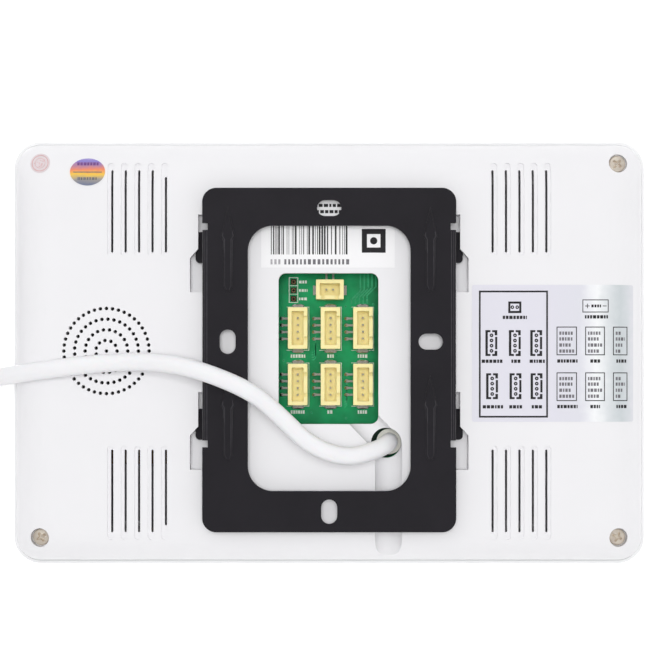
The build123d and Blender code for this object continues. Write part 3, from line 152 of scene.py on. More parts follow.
def banded(name, color, axis, low, high, stops, rough, blur=0.0006, **shader):
    """Material whose colour runs through stops along one axis, from low to high in millimetres."""
    mat = material(name, color, rough, vary=0.02, grain=0.1, grain_scale=900.0, **shader)
    tree = mat.node_tree
    coords = tree.nodes.new("ShaderNodeTexCoord")
    split = tree.nodes.new("ShaderNodeSeparateXYZ")
    noise = tree.nodes.new("ShaderNodeTexNoise")
    noise.inputs["Scale"].default_value = 420.0
    shift = tree.nodes.new("ShaderNodeMath")
    shift.operation = "MULTIPLY_ADD"
    shift.inputs[1].default_value = blur
    place = tree.nodes.new("ShaderNodeMapRange")
    place.inputs["From Min"].default_value = low * MM + blur / 2
    place.inputs["From Max"].default_value = high * MM + blur / 2
    ramp = tree.nodes.new("ShaderNodeValToRGB")
    elements = ramp.color_ramp.elements
    for element, (position, shade) in zip(elements, (stops[0], stops[-1])):
        element.position = position
        element.color = (*linear(shade), 1)
    for position, shade in stops[1:-1]:
        elements.new(position).color = (*linear(shade), 1)
    tree.links.new(coords.outputs["Object"], split.inputs["Vector"])
    tree.links.new(coords.outputs["Object"], noise.inputs["Vector"])
    tree.links.new(noise.outputs["Fac"], shift.inputs[0])
    tree.links.new(split.outputs[axis], shift.inputs[2])
    tree.links.new(shift.outputs["Value"], place.inputs["Value"])
    tree.links.new(place.outputs["Result"], ramp.inputs["Fac"])
    tree.links.new(ramp.outputs["Color"], tree.nodes["Principled BSDF"].inputs["Base Color"])
    return mat


M = {
    "front_white": material("front_white", (0.83, 0.83, 0.84), 0.24, vary=0.008, grain=0.05,
                            grain_scale=1500.0, rough_vary=0.03, Coat_Weight=0.25,
                            Coat_Roughness=0.12),
    "cover_white": material("cover_white", (0.82, 0.815, 0.83), 0.40, vary=0.008, grain=0.16,
                            grain_scale=3200.0, rough_vary=0.04),
    "screen_glass": material("screen_glass", (0.008, 0.008, 0.010), 0.05, vary=0.1, rough_vary=0.01,
                             Coat_Weight=0.6, Coat_Roughness=0.03),
    "lcd_dark": material("lcd_dark", (0.02, 0.02, 0.024), 0.12, vary=0.1),
    "key_white": material("key_white", (0.80, 0.80, 0.81), 0.30, vary=0.01, grain=0.06),
    "tray_steel": material("tray_steel", (0.55, 0.55, 0.56), 0.38, metallic=1.0, grain=0.2,
                           grain_scale=700.0),
    "ribbon_amber": material("ribbon_amber", (0.16, 0.065, 0.014), 0.35, vary=0.08),
    "board_green": material("board_green", (0.004, 0.250, 0.085), 0.32, vary=0.40, vary_scale=95.0,
                            grain=0.10, grain_scale=1400.0, Specular_IOR_Level=0.3),
    "switch_black": material("switch_black", (0.015, 0.015, 0.016), 0.45, vary=0.1, grain=0.1),
    "rubber_black": material("rubber_black", (0.018, 0.018, 0.018), 0.75, vary=0.15, grain=0.25),
    "capsule_metal": material("capsule_metal", (0.70, 0.70, 0.71), 0.30, metallic=1.0, grain=0.1),
    "transformer_yellow": material("transformer_yellow", (0.70, 0.46, 0.05), 0.40, vary=0.06,
                                   grain=0.15, grain_scale=600.0),
    "capacitor_black": material("capacitor_black", (0.012, 0.012, 0.03), 0.25, vary=0.1),
    "connector_cream": material("connector_cream", (0.93, 0.82, 0.40), 0.42, vary=0.03,
                                vary_scale=300.0, grain=0.12, grain_scale=2200.0,
                                Subsurface_Weight=0.06, Subsurface_Scale=0.002),
    "contact_tin": material("contact_tin", (0.72, 0.68, 0.62), 0.30, metallic=1.0, vary=0.1,
                            vary_scale=700.0, grain=0.25, grain_scale=2600.0),
    "gasket_foam": material("gasket_foam", (0.03, 0.03, 0.03), 0.9, vary=0.2, grain=0.6,
                            grain_scale=1600.0),
    "speaker_steel": material("speaker_steel", (0.55, 0.55, 0.55), 0.35, metallic=1.0, grain=0.1),
    "magnet_ferrite": material("magnet_ferrite", (0.05, 0.05, 0.052), 0.55, vary=0.15, grain=0.4,
                               grain_scale=1200.0),
    "cone_paper": material("cone_paper", (0.03, 0.03, 0.03), 0.85, vary=0.2, grain=0.5,
                           grain_scale=1800.0),
    "screw_nickel": material("screw_nickel", (0.93, 0.82, 0.70), 0.36, metallic=0.75, vary=0.12,
                             vary_scale=500.0, grain=0.15, grain_scale=1500.0),
    "label_white": material("label_white", (0.90, 0.895, 0.905), 0.42, vary=0.006, grain=0.05,
                            grain_scale=900.0),
    # label_silver: the bright stop at 0.765 is a painted highlight, and the bluish-grey stops from 0.84
    # to 0.96 are painted reflection and shade where the foil bends over the cover's shoulder; the other
    # stops are the foil's own tone
    "label_silver": banded("label_silver", (0.7, 0.7, 0.75), "X", 41.4, 88.6,
                           [(0.0, (0.885, 0.880, 0.915)), (0.45, (0.880, 0.875, 0.912)),
                            (0.66, (0.875, 0.875, 0.905)), (0.765, (0.960, 0.965, 0.970)),
                            (0.84, (0.865, 0.880, 0.890)), (0.91, (0.800, 0.825, 0.835)),
                            (0.96, (0.835, 0.850, 0.865)), (1.0, (0.870, 0.870, 0.890))],
                           0.45, blur=0.003, metallic=0.1),
    "sticker_hologram": banded("sticker_hologram", (0.6, 0.5, 0.5), "Y", 48.3, 56.2,
                               [(0.0, (0.45, 0.48, 0.58)), (0.22, (0.62, 0.60, 0.58)),
                                (0.40, (0.95, 0.78, 0.30)), (0.58, (0.93, 0.55, 0.40)),
                                (0.74, (0.72, 0.52, 0.62)), (0.88, (0.55, 0.50, 0.80)),
                                (1.0, (0.66, 0.62, 0.82))], 0.35, blur=0.0016, metallic=0.15),
    "sticker_red": material("sticker_red", linear((0.86, 0.815, 0.825)), 0.45, vary=0.04,
                            vary_scale=500.0, grain=0.08),
    "bracket_black": material("bracket_black", (0.0098, 0.0084, 0.0118), 0.42, vary=0.12,
                              vary_scale=90.0, grain=0.20, grain_scale=1500.0, rough_vary=0.05,
                              Specular_IOR_Level=0.36),
    "tie_nylon": material("tie_nylon", (0.75, 0.74, 0.68), 0.45, vary=0.03, grain=0.08),
    "tie_black": material("tie_black", (0.02, 0.02, 0.02), 0.55, vary=0.2, grain=0.3,
                          grain_scale=1300.0),
    "conductor_plastic": material("conductor_plastic", (0.20, 0.09, 0.03), 0.4, vary=0.1),
    "cord_white": material("cord_white", (0.83, 0.83, 0.845), 0.38, vary=0.012, vary_scale=120.0,
                           grain=0.12, grain_scale=900.0, Subsurface_Weight=0.05,
                           Subsurface_Scale=0.002),
    "plug_white": material("plug_white", (0.81, 0.81, 0.82), 0.40, vary=0.012, grain=0.12,
                           grain_scale=1400.0),
    "pin_nickel": material("pin_nickel", (0.72, 0.70, 0.66), 0.20, metallic=1.0, vary=0.05,
                           grain=0.06),
    "silk_white": material("silk_white", (0.72, 0.76, 0.70), 0.5, vary=0.12, vary_scale=700.0,
                           grain=0.2),
    "track_green": material("track_green", (0.012, 0.36, 0.14), 0.30, vary=0.2, vary_scale=300.0,
                            grain=0.08, Coat_Weight=0.35, Coat_Roughness=0.18),
    "pad_gold": material("pad_gold", (0.60, 0.42, 0.20), 0.32, metallic=1.0, vary=0.1, grain=0.2),
    # painted shade: dark colour for the board seen around the cord hole
    "cord_hole_painted_shade": material("cord_hole_painted_shade", (0.004, 0.022, 0.012), 0.5, vary=0.2, grain=0.1),
    # painted highlight: light colour for the lines along the bracket's rib and fold edges
    "bracket_painted_highlight": material("bracket_painted_highlight", (0.042, 0.040, 0.046), 0.40, vary=0.3,
                             vary_scale=700.0, grain=0.2, grain_scale=1500.0),
    "pad_brown": material("pad_brown", (0.045, 0.022, 0.014), 0.5, vary=0.3, vary_scale=900.0,
                          grain=0.2),
    # painted shade: dark colour in place of the inside of drilled holes
    "drill_hole_painted_shade": material("drill_hole_painted_shade", (0.01, 0.008, 0.006), 0.7, vary=0.2),
    "solder_tin": material("solder_tin", (0.66, 0.64, 0.62), 0.24, metallic=1.0, vary=0.12,
                           vary_scale=900.0, grain=0.3, grain_scale=1500.0),
    "ink_black": material("ink_black", (0.012, 0.011, 0.013), 0.45, vary=0.2, vary_scale=700.0,
                          grain=0.1),
    "ink_grey": material("ink_grey", (0.16, 0.155, 0.17), 0.5, vary=0.3, vary_scale=900.0,
                         grain=0.1),
    "ink_light": material("ink_light", (0.42, 0.41, 0.43), 0.5, vary=0.25, vary_scale=900.0,
                          grain=0.1),
    "ink_red": material("ink_red", (0.62, 0.24, 0.24), 0.5, vary=0.2, vary_scale=900.0, grain=0.1),
    "ink_purple": material("ink_purple", (0.16, 0.06, 0.22), 0.4, vary=0.2, vary_scale=700.0,
                           grain=0.1),
}

# The CAD nodes that stay in view take the material of their slot
for part in frame["record"]["subparts"]:
    obj = nodes[part["node"]]
    obj.data.materials.clear()
    obj.data.materials.append(M[part["material_slot"]])
    mesh = obj.data
    for polygon in mesh.polygons:
        polygon.use_smooth = True
    mesh.set_sharp_from_angle(angle=math.radians(32))
    weighted = obj.modifiers.new("weighted", "WEIGHTED_NORMAL")
    weighted.keep_sharp = True


# ---- building pieces ----------------------------------------------------------------------------

def piece(name, mesh, mat, body="monitor", smooth=False):
    """A finished mesh as a piece that rides on a body."""
    obj = bpy.data.objects.new(name, mesh)
    scene.collection.objects.link(obj)
    for one in mat if isinstance(mat, (list, tuple)) else [mat]:
        mesh.materials.append(one)
    for polygon in mesh.polygons:
        polygon.use_smooth = smooth
    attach(obj, body)
    return obj


class Print:
    """Flat printed shapes that lie on the top of a CAD node, in millimetres."""

    def __init__(self, node, lift=0.03):
        data = nodes[node].data
        corners = [v.co.copy() for v in data.vertices]
        self.tree = BVHTree.FromPolygons(corners, [tuple(p.vertices) for p in data.polygons])
        self.lift = lift * MM
        self.verts = []
        self.faces = []
        self.inks = []

    def point(self, x, y):
        """Point just above the node's top face. Past the face it takes the height of the last one."""
        hit = self.tree.ray_cast(Vector((x * MM, y * MM, 0.05)), Vector((0, 0, -1)))[0]
        z = hit.z if hit else self.verts[-1][2] - self.lift
        self.verts.append((x * MM, y * MM, z + self.lift))
        return len(self.verts) - 1

    def box(self, x0, y0, x1, y1, ink=0, step=2.0):
        """Rectangle, cut into pieces no longer than step so that it follows a curved face."""
        columns = max(1, math.ceil(abs(x1 - x0) / step))
        rows = max(1, math.ceil(abs(y1 - y0) / step))
        grid = [[self.point(x0 + (x1 - x0) * i / columns, y0 + (y1 - y0) * j / rows)
                 for i in range(columns + 1)] for j in range(rows + 1)]
        for j in range(rows):
            for i in range(columns):
                self.faces.append((grid[j][i], grid[j][i + 1], grid[j + 1][i + 1], grid[j + 1][i]))
                self.inks.append(ink)

    def frame(self, x0, y0, x1, y1, line, ink=0):
        """Outline of a rectangle, with its line inside the given corners."""
        self.box(x0, y0, x1, y0 + line, ink)
        self.box(x0, y1 - line, x1, y1, ink)
        self.box(x0, y0 + line, x0 + line, y1 - line, ink)
        self.box(x1 - line, y0 + line, x1, y1 - line, ink)

    def ring(self, x, y, inner, outer, ink=0, count=24):
        """Ring between two radii, or a disc where the inner one is 0."""
        turns = [math.radians(360.0 * i / count) for i in range(count + 1)]
        rims = []
        for radius in (inner, outer):
            rims.append([self.point(x + radius * math.cos(t), y + radius * math.sin(t))
                         for t in turns])
        for i in range(count):
            self.faces.append((rims[0][i], rims[1][i], rims[1][i + 1], rims[0][i + 1]))
            self.inks.append(ink)

    def line(self, points, width, ink=0):
        """Open line of straight runs."""
        for (ax, ay), (bx, by) in zip(points, points[1:]):
            length = math.hypot(bx - ax, by - ay)
            ux, uy = (bx - ax) / length, (by - ay) / length
            nx, ny = -uy * width / 2, ux * width / 2
            ax, ay = ax - ux * width / 2, ay - uy * width / 2
            bx, by = bx + ux * width / 2, by + uy * width / 2
            ids = [self.point(ax + nx, ay + ny), self.point(ax - nx, ay - ny),
                   self.point(bx - nx, by - ny), self.point(bx + nx, by + ny)]
            self.faces.append(tuple(ids))
            self.inks.append(ink)

    def dashes(self, x0, x1, y, height, ink=0, seed=0, low=0.45, high=1.0, gap=0.22):
        """A row of short bars of uneven length in place of a line of words."""
        rng = random.Random(seed)
        x = x0
        while x < x1 - 0.2:
            width = min(rng.uniform(low, high), x1 - x)
            self.box(x, y - height / 2, x + width, y + height / 2, ink)
            x += width + gap

    def make(self, name, mats, body="monitor"):
        """The printed shapes so far as one piece. An ink is a place in the list of materials."""
        mesh = bpy.data.meshes.new(name)
        mesh.from_pydata(self.verts, [], self.faces)
        mesh.update()
        obj = piece(name, mesh, mats, body)
        for polygon, ink in zip(mesh.polygons, self.inks):
            polygon.material_index = ink
            if polygon.normal.z < 0:
                polygon.flip()
        return obj


# ---- cover screws with cross recesses -----------------------------------------------------------

SCREW_R = 2.45
SCREW_SHANK_R = 1.4
SCREW_HEAD = 1.6
SCREW_TURNS = (0.55, 0.1, 1.12, 0.85)
DOME_RISE = 0.30
RIM_WIDTH, RIM_DROP = 0.35, 0.45
CROSS_HALF, CROSS_TAPER, CROSS_WALL = 0.40, 0.10, 0.12
CROSS_DEPTH, CROSS_R = 1.05, 1.50


def screw_height(x, y, low, high):
    """Top surface of a screw head at a place from its centre: a dome with a tapered cross recess."""
    r = math.hypot(x, y)
    dome = high - DOME_RISE * (r / SCREW_R) ** 2
    if r > SCREW_R - RIM_WIDTH:
        dome -= RIM_DROP * ((r - SCREW_R + RIM_WIDTH) / RIM_WIDTH) ** 2
    across = min(abs(x), abs(y))
    half = CROSS_HALF - CROSS_TAPER * r
    wall = min(max((half - across) / CROSS_WALL + 0.5, 0.0), 1.0)
    depth = CROSS_DEPTH * max(0.0, 1.0 - (r / CROSS_R) ** 3)
    return max(dome - wall * depth, low + 0.1)


def add_screw(verts, faces, cx, cy, turn, low, high, tip):
    """One screw: the head's top is a polar grid, with the head's side and the shank below it."""
    rings, count = 30, 96
    start = len(verts)
    verts.append((cx, cy, screw_height(0.0, 0.0, low, high)))
    rims = []
    for k in range(1, rings + 1):
        r = SCREW_R * k / rings
        rims.append(len(verts))
        for i in range(count):
            angle = 2 * math.pi * i / count
            x, y = r * math.cos(angle), r * math.sin(angle)
            verts.append((cx + r * math.cos(angle + turn), cy + r * math.sin(angle + turn),
                          screw_height(x, y, low, high)))
    for r, z in ((SCREW_R, low), (SCREW_SHANK_R, low), (SCREW_SHANK_R, tip + 1.0), (0.5, tip)):
        rims.append(len(verts))
        for i in range(count):
            angle = 2 * math.pi * i / count + turn
            verts.append((cx + r * math.cos(angle), cy + r * math.sin(angle), z))
    for i in range(count):
        j = (i + 1) % count
        faces.append((start, rims[0] + i, rims[0] + j))
        for inner, outer in zip(rims, rims[1:]):
            faces.append((inner + i, outer + i, outer + j, inner + j))
    faces.append(tuple(rims[-1] + i for i in reversed(range(count))))


def finished_mesh(name, verts, faces):
    """Mesh in metres from points in millimetres, with its faces turned outwards."""
    mesh = bpy.data.meshes.new(name)
    mesh.from_pydata([(x * MM, y * MM, z * MM) for x, y, z in verts], [], faces)
    work = bmesh.new()
    work.from_mesh(mesh)
    bmesh.ops.recalc_face_normals(work, faces=work.faces)
    work.to_mesh(mesh)
    work.free()
    return mesh


low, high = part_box("cover_screws")
screw_tip = low[2] / MM
screw_top = high[2] / MM
screw_x = high[0] / MM - SCREW_R
screw_y = (low[1] / MM + SCREW_R, high[1] / MM - SCREW_R)
verts, faces = [], []
for (side, row), turn in zip(((-1, 0), (-1, 1), (1, 0), (1, 1)), SCREW_TURNS):
    add_screw(verts, faces, side * screw_x, screw_y[row], turn, screw_top - SCREW_HEAD, screw_top,
              screw_tip)
mesh = finished_mesh("cross_screws", verts, faces)
screws = piece("cross_screws", mesh, M["screw_nickel"], smooth=True)
mesh.set_sharp_from_angle(angle=math.radians(40))
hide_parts("cover_screws")

# ---- prints on the labels -----------------------------------------------------------------------

rating = Print("rating_label")
BARS_LEFT, BARS_RIGHT = -16.9, 5.7
BARS_LOW, BARS_HIGH = 28.2, 39.0
rng = random.Random(7)
x = BARS_LEFT
while x < BARS_RIGHT - 0.1:
    width = rng.choice((0.14, 0.16, 0.24, 0.34, 0.48))
    rating.box(x, BARS_LOW, min(x + width, BARS_RIGHT), BARS_HIGH, step=20.0)
    x += width + rng.choice((0.26, 0.40, 0.62, 0.85))
rating.dashes(-17.0, -13.6, 26.05, 1.5, ink=2, seed=3, low=0.5, high=0.8, gap=0.5)
rating.dashes(-13.0, 6.0, 26.05, 1.5, ink=1, seed=4, low=0.5, high=0.9, gap=0.55)
rating.frame(9.45, 28.7, 16.36, 35.6, 1.5)
rating.ring(12.9, 32.15, 0.0, 1.05, count=20)
rating.dashes(-9.0, 9.0, 42.4, 0.9, seed=5, low=0.6, high=1.3, gap=0.35)
rating.dashes(-9.0, 6.0, 40.6, 0.9, seed=6, low=0.6, high=1.3, gap=0.35)
rating.make("rating_print", [M["ink_black"], M["ink_grey"], M["ink_light"]])

wiring = Print("wiring_label")
wiring.frame(43.4, -19.1, 63.4, 17.7, 0.50)


def socket_icon(x, y, pins, half_width=1.72):
    """Connector seen from above: a thick open C with a pad that has a hole for each pin."""
    half = 0.75 * pins + 0.75
    wiring.box(x - half_width, y - half, x - half_width + 0.7, y + half)
    for side in (-1, 1):
        edge = y + side * (half - 0.30)
        wiring.box(x - half_width + 0.7, edge - 0.30, x - 0.25, edge + 0.30)
        wiring.box(x + 0.25, edge - 0.30, x + half_width, edge + 0.30)
        near = y + side * (half - 0.60)
        far = y + side * half * 0.60
        wiring.box(x + half_width - 0.75, min(near, far), x + half_width, max(near, far))
    wiring.box(x + half_width - 0.62, y - half * 0.48, x + half_width, y + half * 0.48)
    for i in range(pins):
        wiring.ring(x + 0.05, y + 1.5 * (i - (pins - 1) / 2), 0.16, 0.54, count=16)


wiring.frame(51.9, 11.2, 55.7, 14.55, 0.62)
for i in (-1, 1):
    wiring.ring(53.8 + 0.70 * i, 12.9, 0.18, 0.52, count=16)
wiring.dashes(50.3, 57.3, 9.95, 0.95, seed=11)
for x, y in ((47.0, 2.5), (53.8, 2.5), (60.0, 2.5), (47.2, -10.0), (54.0, -10.0), (60.1, -10.0)):
    socket_icon(x, y, 4)
captions = [(44.2, 50.2, -2.76), (52.8, 55.5, -2.76), (58.1, 62.7, -2.76),
            (44.5, 50.4, -15.97), (52.2, 55.9, -15.97), (58.7, 62.0, -15.97)]
captions += [(x0, x1, y) for y in (-2.7, -15.9) for x0, x1 in ((66.1, 72.0), (75.7, 78.5), (83.3, 86.5))]
captions.append((74.1, 80.8, 10.1))
for number, (x0, x1, y) in enumerate(captions):
    wiring.dashes(x0, x1, y, 0.95, seed=20 + number)
wiring.frame(73.4, 11.38, 81.0, 15.14, 0.24)
wiring.box(74.2, 13.15, 75.5, 13.37)
wiring.box(74.74, 12.61, 74.96, 13.91)
wiring.dashes(76.0, 78.8, 13.26, 0.8, seed=41)
wiring.box(79.3, 13.15, 80.4, 13.37)
for top, levels in ((7.27, (5.37, 3.7, 1.93, 0.18)), (-6.0, (-7.8, -9.4, -11.16, -12.9))):
    for number, (x0, x1) in enumerate(((65.9, 71.8), (74.2, 79.9), (82.3, 86.7))):
        wiring.frame(x0, top - 8.3, x1, top, 0.26)
        for row, y in enumerate(levels):
            end = x1 - 0.8 - 0.5 * ((row + number) % 3)
            wiring.dashes(x0 + 0.8, end, y, 0.95, ink=1, seed=50 + number * 7 + row, low=0.4, high=0.8,
                          gap=0.26)
wiring.make("wiring_print", [M["ink_black"], M["ink_grey"]])

oval = Print("inspection_sticker")
oval.dashes(-73.2, -67.0, 54.6, 0.9, ink=0, seed=61, low=0.5, high=0.9)
oval.box(-74.3, 52.0, -66.0, 52.25, ink=1)
oval.dashes(-73.0, -67.4, 50.2, 0.8, ink=1, seed=62, low=0.4, high=0.8)
oval.make("inspection_print", [M["ink_purple"], M["ink_grey"]])

seal = Print("seal_sticker")
seal.ring(-screw_x, screw_y[1], 2.30, 2.44, count=40)
seal.ring(-screw_x, screw_y[1], 1.45, 1.53, count=32)
rng = random.Random(9)
for i in range(16):
    angle = rng.uniform(0, 2 * math.pi)
    r = rng.uniform(0.4, 1.9)
    x, y = -screw_x + r * math.cos(angle), screw_y[1] + r * math.sin(angle)
    seal.box(x, y, x + rng.uniform(0.15, 0.5), y + 0.13)
seal.make("seal_print", [M["ink_red"]])

# ---- prints, pads and solder on the main board --------------------------------------------------

board = Print("main_board")
CONNECTORS = [(x, y) for y in (7.0, -9.5) for x in (-9.2, 0.4, 9.9)]
board.frame(-11.9, 14.66, -9.17, 22.16, 0.18)
board.box(-11.7, 17.1, -9.35, 17.25)
board.box(-11.7, 19.6, -9.35, 19.75)
for number, y in enumerate((20.8, 18.3, 15.8)):
    board.frame(-11.35, y - 0.85, -9.65, y + 0.85, 0.42, ink=4)
    board.ring(-10.5, y, 0.40, 0.56, ink=2, count=20)
    # painted shade: dark disc in place of the pad's drilled hole
    board.ring(-10.5, y, 0.0, 0.40, ink=3, count=20)
    board.dashes(-8.9, -6.4, y, 0.8, seed=70 + number, low=0.4, high=0.8)
for number, (x, y) in enumerate(CONNECTORS):
    board.box(x - 3.35, y - 6.45, x + 3.3, y - 6.3)
    board.box(x - 3.35, y + 6.3, x + 3.3, y + 6.45)
    board.box(x + 3.15, y - 6.3, x + 3.3, y + 6.3)
    half = (2.15, 0.95, 1.45)[number % 3]
    board.dashes(x - half, x + half, y - 8.1, 1.0, seed=80 + number, low=0.35, high=0.7)
    board.dashes(x - 1.0, x + 1.0, y + 7.0, 0.5, seed=90 + number, low=0.3, high=0.6)
for number in range(5):
    x = 6.6 + 1.15 * number
    points = [(x, 14.4), (x, 15.6 + 0.3 * number), (x + 2.6, 18.2 + 0.3 * number), (x + 2.6, 23.0)]
    board.line(points, 0.38, ink=1)
for number in range(4):
    y = -2.2 + 0.75 * number
    board.line([(-5.0, y), (-4.6, y), (-4.0, y + 0.6), (-4.0, y + 5.0)], 0.26, ink=1)
    board.line([(4.6, y - 14.0), (5.2, y - 13.4), (5.2, y - 9.0)], 0.26, ink=1)
for x, y in ((-13.2, 11.0), (-13.4, -2.4), (4.9, 13.6), (13.0, 14.2), (-5.2, -17.8), (5.0, -19.4)):
    board.ring(x, y, 0.16, 0.36, ink=1, count=14)
    # painted shade: dark disc in place of the via's drilled hole
    board.ring(x, y, 0.0, 0.16, ink=3, count=14)
# painted shade: dark disc on the board under the cord hole
board.ring(16.6, -26.5, 0.0, 4.35, ink=5, count=32)
board.make("board_print", [M["silk_white"], M["track_green"], M["pad_gold"], M["drill_hole_painted_shade"],
                           M["pad_brown"], M["cord_hole_painted_shade"]])


# ---- painted highlights: light lines on the edges of the bracket's ribs and folds ----------------

# the lines drawn here are painted highlights, not worn paint
edges = Print("wall_bracket", lift=0.015)
RIB_OUTER = ((0.0, 12.1), (-2.05, 3.6), (-1.30, 2.4), (-1.30, -10.8), (-0.62, -12.1))
RIB_INNER = ((0.0, 10.5), (-1.55, 3.75), (-0.92, 2.7), (-0.92, -10.6), (-0.42, -11.7))
RIB_X = 29.1
RIB_Y = (29.4, -19.1)
FOLD_LOW, FOLD_STEP, FOLD_STEPS = -25.4, 2.0, 30
for rib_x in (-RIB_X, RIB_X):
    for rib_y in RIB_Y:
        for outline, width in ((RIB_OUTER, 0.13), (RIB_INNER, 0.16)):
            for side in (-1, 1):
                edges.line([(rib_x + side * x, rib_y + y) for x, y in outline], width)
# two painted highlight lines on each fold, in place of the light on the bend
for side in (-1, 1):
    for x, width in ((35.15, 0.20), (35.75, 0.14)):
        for k in range(FOLD_STEPS):
            y = FOLD_LOW + FOLD_STEP * k
            edges.line([(side * x, y), (side * x, y + FOLD_STEP - 0.1)], width)
edges.make("bracket_painted_highlights", [M["bracket_painted_highlight"]], body="wall_bracket")

# ---- solder at the connectors -------------------------------------------------------------------

PIN_PITCH = 2.0


def add_fillet(verts, faces, cx, cy, base, rx, ry, height):
    """Solder fillet: a low mound that fades out at its rim."""
    rings, count = 7, 20
    start = len(verts)
    verts.append((cx, cy, base + height))
    for k in range(1, rings + 1):
        share = k / rings
        z = base + height * (1 - share) ** 1.6
        for i in range(count):
            angle = 2 * math.pi * i / count
            verts.append((cx + rx * share * math.cos(angle), cy + ry * share * math.sin(angle), z))
    for i in range(count):
        j = (i + 1) % count
        faces.append((start, start + 1 + i, start + 1 + j))
        for k in range(rings - 1):
            a, b = start + 1 + k * count, start + 1 + (k + 1) * count
            faces.append((a + i, b + i, b + j, a + j))
    rim = start + 1 + (rings - 1) * count
    faces.append(tuple(rim + i for i in reversed(range(count))))


board_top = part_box("main_board")[1][2] / MM
verts, faces = [], []
for x, y in CONNECTORS:
    for i in range(4):
        add_fillet(verts, faces, x - 4.75, y + PIN_PITCH * (i - 1.5), board_top, 0.75, 0.55,
                   0.48)
    for side in (-1, 1):
        add_fillet(verts, faces, x, y + side * 6.75, board_top, 1.9, 0.55, 0.42)
mesh = finished_mesh("solder_fillets", verts, faces)
piece("solder_fillets", mesh, M["solder_tin"], smooth=True)


# ---- mains lead: one smooth line from the hole to the plug --------------------------------------

CORD_R = 2.6
COIL_X, COIL_Y, COIL_BASE_Z = -156.5, 24.0, 3.35
COIL_MIDDLE_R, COIL_PITCH, ROW_RISE = 30.6, 5.2, 5.25
COIL_EXIT_AT = 315.0
PLUG_X, PLUG_START_Y, PLUG_AXIS_Z = -229.5, -8.0, 6.85

route = [
    (17.6, -26.2, 14.2),
    (17.6, -26.2, 22.6),
    (13.6, -28.4, 28.2),
    (4.6, -30.6, 31.4),
    (-5.6, -26.8, 33.2),
    (-13.8, -18.6, 34.2),
    (-22.0, -11.3, 34.6),
    (-38.0, -4.9, 34.6),
    (-50.0, -3.0, 30.8),
    (-60.0, -3.1, 27.4),
    (-70.0, -3.8, 26.4),
    (-79.5, -5.0, 26.0),
    (-88.5, -6.3, 24.0),
    (-96.5, -7.4, 19.4),
    (-103.5, -8.6, 13.0),
    (-110.5, -9.8, 7.4),
    (-118.5, -11.2, 4.1),
    (-127.5, -11.8, COIL_BASE_Z),
    (-141.5, -11.8, COIL_BASE_Z),
]


def ease(value):
    """Smooth step from 0 to 1."""
    value = min(max(value, 0.0), 1.0)
    return value * value * (3 - 2 * value)


def coil_place(turns):
    """Radius and height of the lead after a number of turns. It lies in rows of 3, 3 and 1. Each
    step to the next place takes a fifth of a turn, at the same side of the coil."""
    step = 0.2
    shift = 0.225
    rows = [
        (COIL_MIDDLE_R + COIL_PITCH, 0), (COIL_MIDDLE_R, 0), (COIL_MIDDLE_R - COIL_PITCH, 0),
        (COIL_MIDDLE_R - COIL_PITCH, 1), (COIL_MIDDLE_R, 1), (COIL_MIDDLE_R + COIL_PITCH, 1),
        (COIL_MIDDLE_R, 2),
    ]
    starts = [None, shift, shift + 1, shift + 2 - step, shift + 3 - step, shift + 4 - step,
              shift + 5 - step]
    radius, row = rows[0]
    height = COIL_BASE_Z + row * ROW_RISE
    for (next_radius, next_row), start in zip(rows[1:], starts[1:]):
        share = ease((turns - start) / step)
        radius += (next_radius - radius) * share
        height += (COIL_BASE_Z + next_row * ROW_RISE - height) * share
    return radius, height


TURN_POINTS = 18
COIL_TURNS = 5 + (270 + 360 - COIL_EXIT_AT) / 360.0
CHORD = math.cos(math.pi / TURN_POINTS)
count = round(COIL_TURNS * TURN_POINTS)
for i in range(count + 1):
    turns = COIL_TURNS * i / count
    radius, height = coil_place(turns)
    angle = math.radians(270.0 - 360.0 * turns)
    route.append((COIL_X + radius / CHORD * math.cos(angle),
                  COIL_Y + radius / CHORD * math.sin(angle), height))
exit_angle = math.radians(COIL_EXIT_AT)
exit_x = COIL_X + COIL_MIDDLE_R * math.cos(exit_angle)
exit_y = COIL_Y + COIL_MIDDLE_R * math.sin(exit_angle)
for distance, height in ((14.0, 13.7), (28.0, 13.2), (43.0, 11.6)):
    route.append((exit_x + distance * math.sin(exit_angle),
                  exit_y - distance * math.cos(exit_angle), height))
route += [
    (-182.7, -45.4, 7.6),
    (-201.3, -49.1, 3.9),
    (-218.9, -41.8, 2.9),
    (PLUG_X, -26.0, PLUG_AXIS_Z),
    (PLUG_X, PLUG_START_Y, PLUG_AXIS_Z),
    (PLUG_X, PLUG_START_Y + 4.0, PLUG_AXIS_Z),
]

curve = bpy.data.curves.new("mains_lead", "CURVE")
curve.dimensions = "3D"
spline = curve.splines.new("NURBS")
spline.points.add(len(route) - 1)
for point, place in zip(spline.points, route):
    point.co = (place[0] * MM, place[1] * MM, place[2] * MM, 1.0)
spline.order_u = 3
spline.use_endpoint_u = True
spline.resolution_u = 8
curve.bevel_depth = CORD_R * MM
curve.bevel_resolution = 8
curve.use_fill_caps = True
lead = bpy.data.objects.new("mains_lead", curve)
scene.collection.objects.link(lead)
curve.materials.append(M["cord_white"])
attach(lead, "monitor")
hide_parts("power_cord", "power_cord_coil", "power_cord_tail")


def line_length(obj):
    """Length of a curve's own line, without its thickness."""
    plain = obj.data.copy()
    plain.bevel_depth = 0.0
    holder = bpy.data.objects.new("measure", plain)
    scene.collection.objects.link(holder)
    mesh = bpy.data.meshes.new_from_object(holder)
    total = sum((mesh.vertices[e.vertices[0]].co - mesh.vertices[e.vertices[1]].co).length
                for e in mesh.edges)
    bpy.data.objects.remove(holder)
    bpy.data.meshes.remove(mesh)
    bpy.data.curves.remove(plain)
    return total


print("lead length", round(line_length(lead), 4))

# ---- floor, world and lights --------------------------------------------------------------------

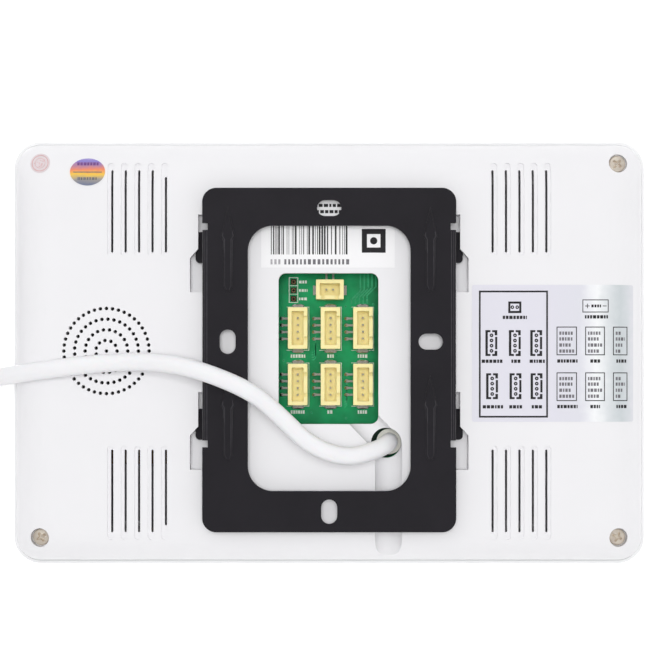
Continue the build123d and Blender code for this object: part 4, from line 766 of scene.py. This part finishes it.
floor_mesh = bpy.data.meshes.new("floor")
SIDE = 3.0
floor_mesh.from_pydata([(-SIDE, -SIDE, 0), (SIDE, -SIDE, 0), (SIDE, SIDE, 0), (-SIDE, SIDE, 0)], [],
                       [(0, 1, 2, 3)])
floor = bpy.data.objects.new("floor", floor_mesh)
floor.location = (0, 0, -0.0002)
scene.collection.objects.link(floor)
floor_mesh.materials.append(material("floor_white", (0.97, 0.97, 0.97), 0.9, vary=0.002,
                                     Emission_Color=(1, 1, 1, 1), Emission_Strength=0.22))
floor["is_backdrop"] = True

WORLD_STRENGTH = 0.46
world = bpy.data.worlds.new("studio")
scene.world = world
world.use_nodes = True
tree = world.node_tree
background = tree.nodes["Background"]
coords = tree.nodes.new("ShaderNodeTexCoord")
split = tree.nodes.new("ShaderNodeSeparateXYZ")
ramp = tree.nodes.new("ShaderNodeValToRGB")
ramp.color_ramp.elements[0].position = 0.0
ramp.color_ramp.elements[0].color = (2.6, 2.6, 2.63, 1)
ramp.color_ramp.elements[1].position = 1.0
ramp.color_ramp.elements[1].color = (0.80, 0.80, 0.81, 1)
for position, level in ((0.4, 1.0), (0.75, 0.90)):
    ramp.color_ramp.elements.new(position).color = (level, level, level * 1.01, 1)
tree.links.new(coords.outputs["Generated"], split.inputs["Vector"])
tree.links.new(split.outputs["Z"], ramp.inputs["Fac"])
tree.links.new(ramp.outputs["Color"], background.inputs["Color"])
background.inputs["Strength"].default_value = WORLD_STRENGTH


def softbox(name, place, aim, size, power, glossy=True):
    """Square light that is aimed at a point. One that isn't glossy stays out of reflections."""
    data = bpy.data.lights.new(name, "AREA")
    data.shape = "SQUARE"
    data.size = size
    data.energy = power
    obj = bpy.data.objects.new(name, data)
    obj.location = place
    obj.rotation_mode = "QUATERNION"
    obj.rotation_quaternion = (Vector(aim) - Vector(place)).to_track_quat("-Z", "Y")
    obj.visible_glossy = glossy
    scene.collection.objects.link(obj)


softbox("front_light", (0.0, 0.05, 1.20), (0, 0, 0), 0.42, 7.6, glossy=False)
softbox("key_light", (-0.35, 0.75, 1.10), (0, 0, 0), 1.2, 2.2)
softbox("fill_light", (0.55, -0.65, 0.95), (0, 0, 0), 1.2, 1.4)

# ---- extent of the shown objects ----------------------------------------------------------------

low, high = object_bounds()
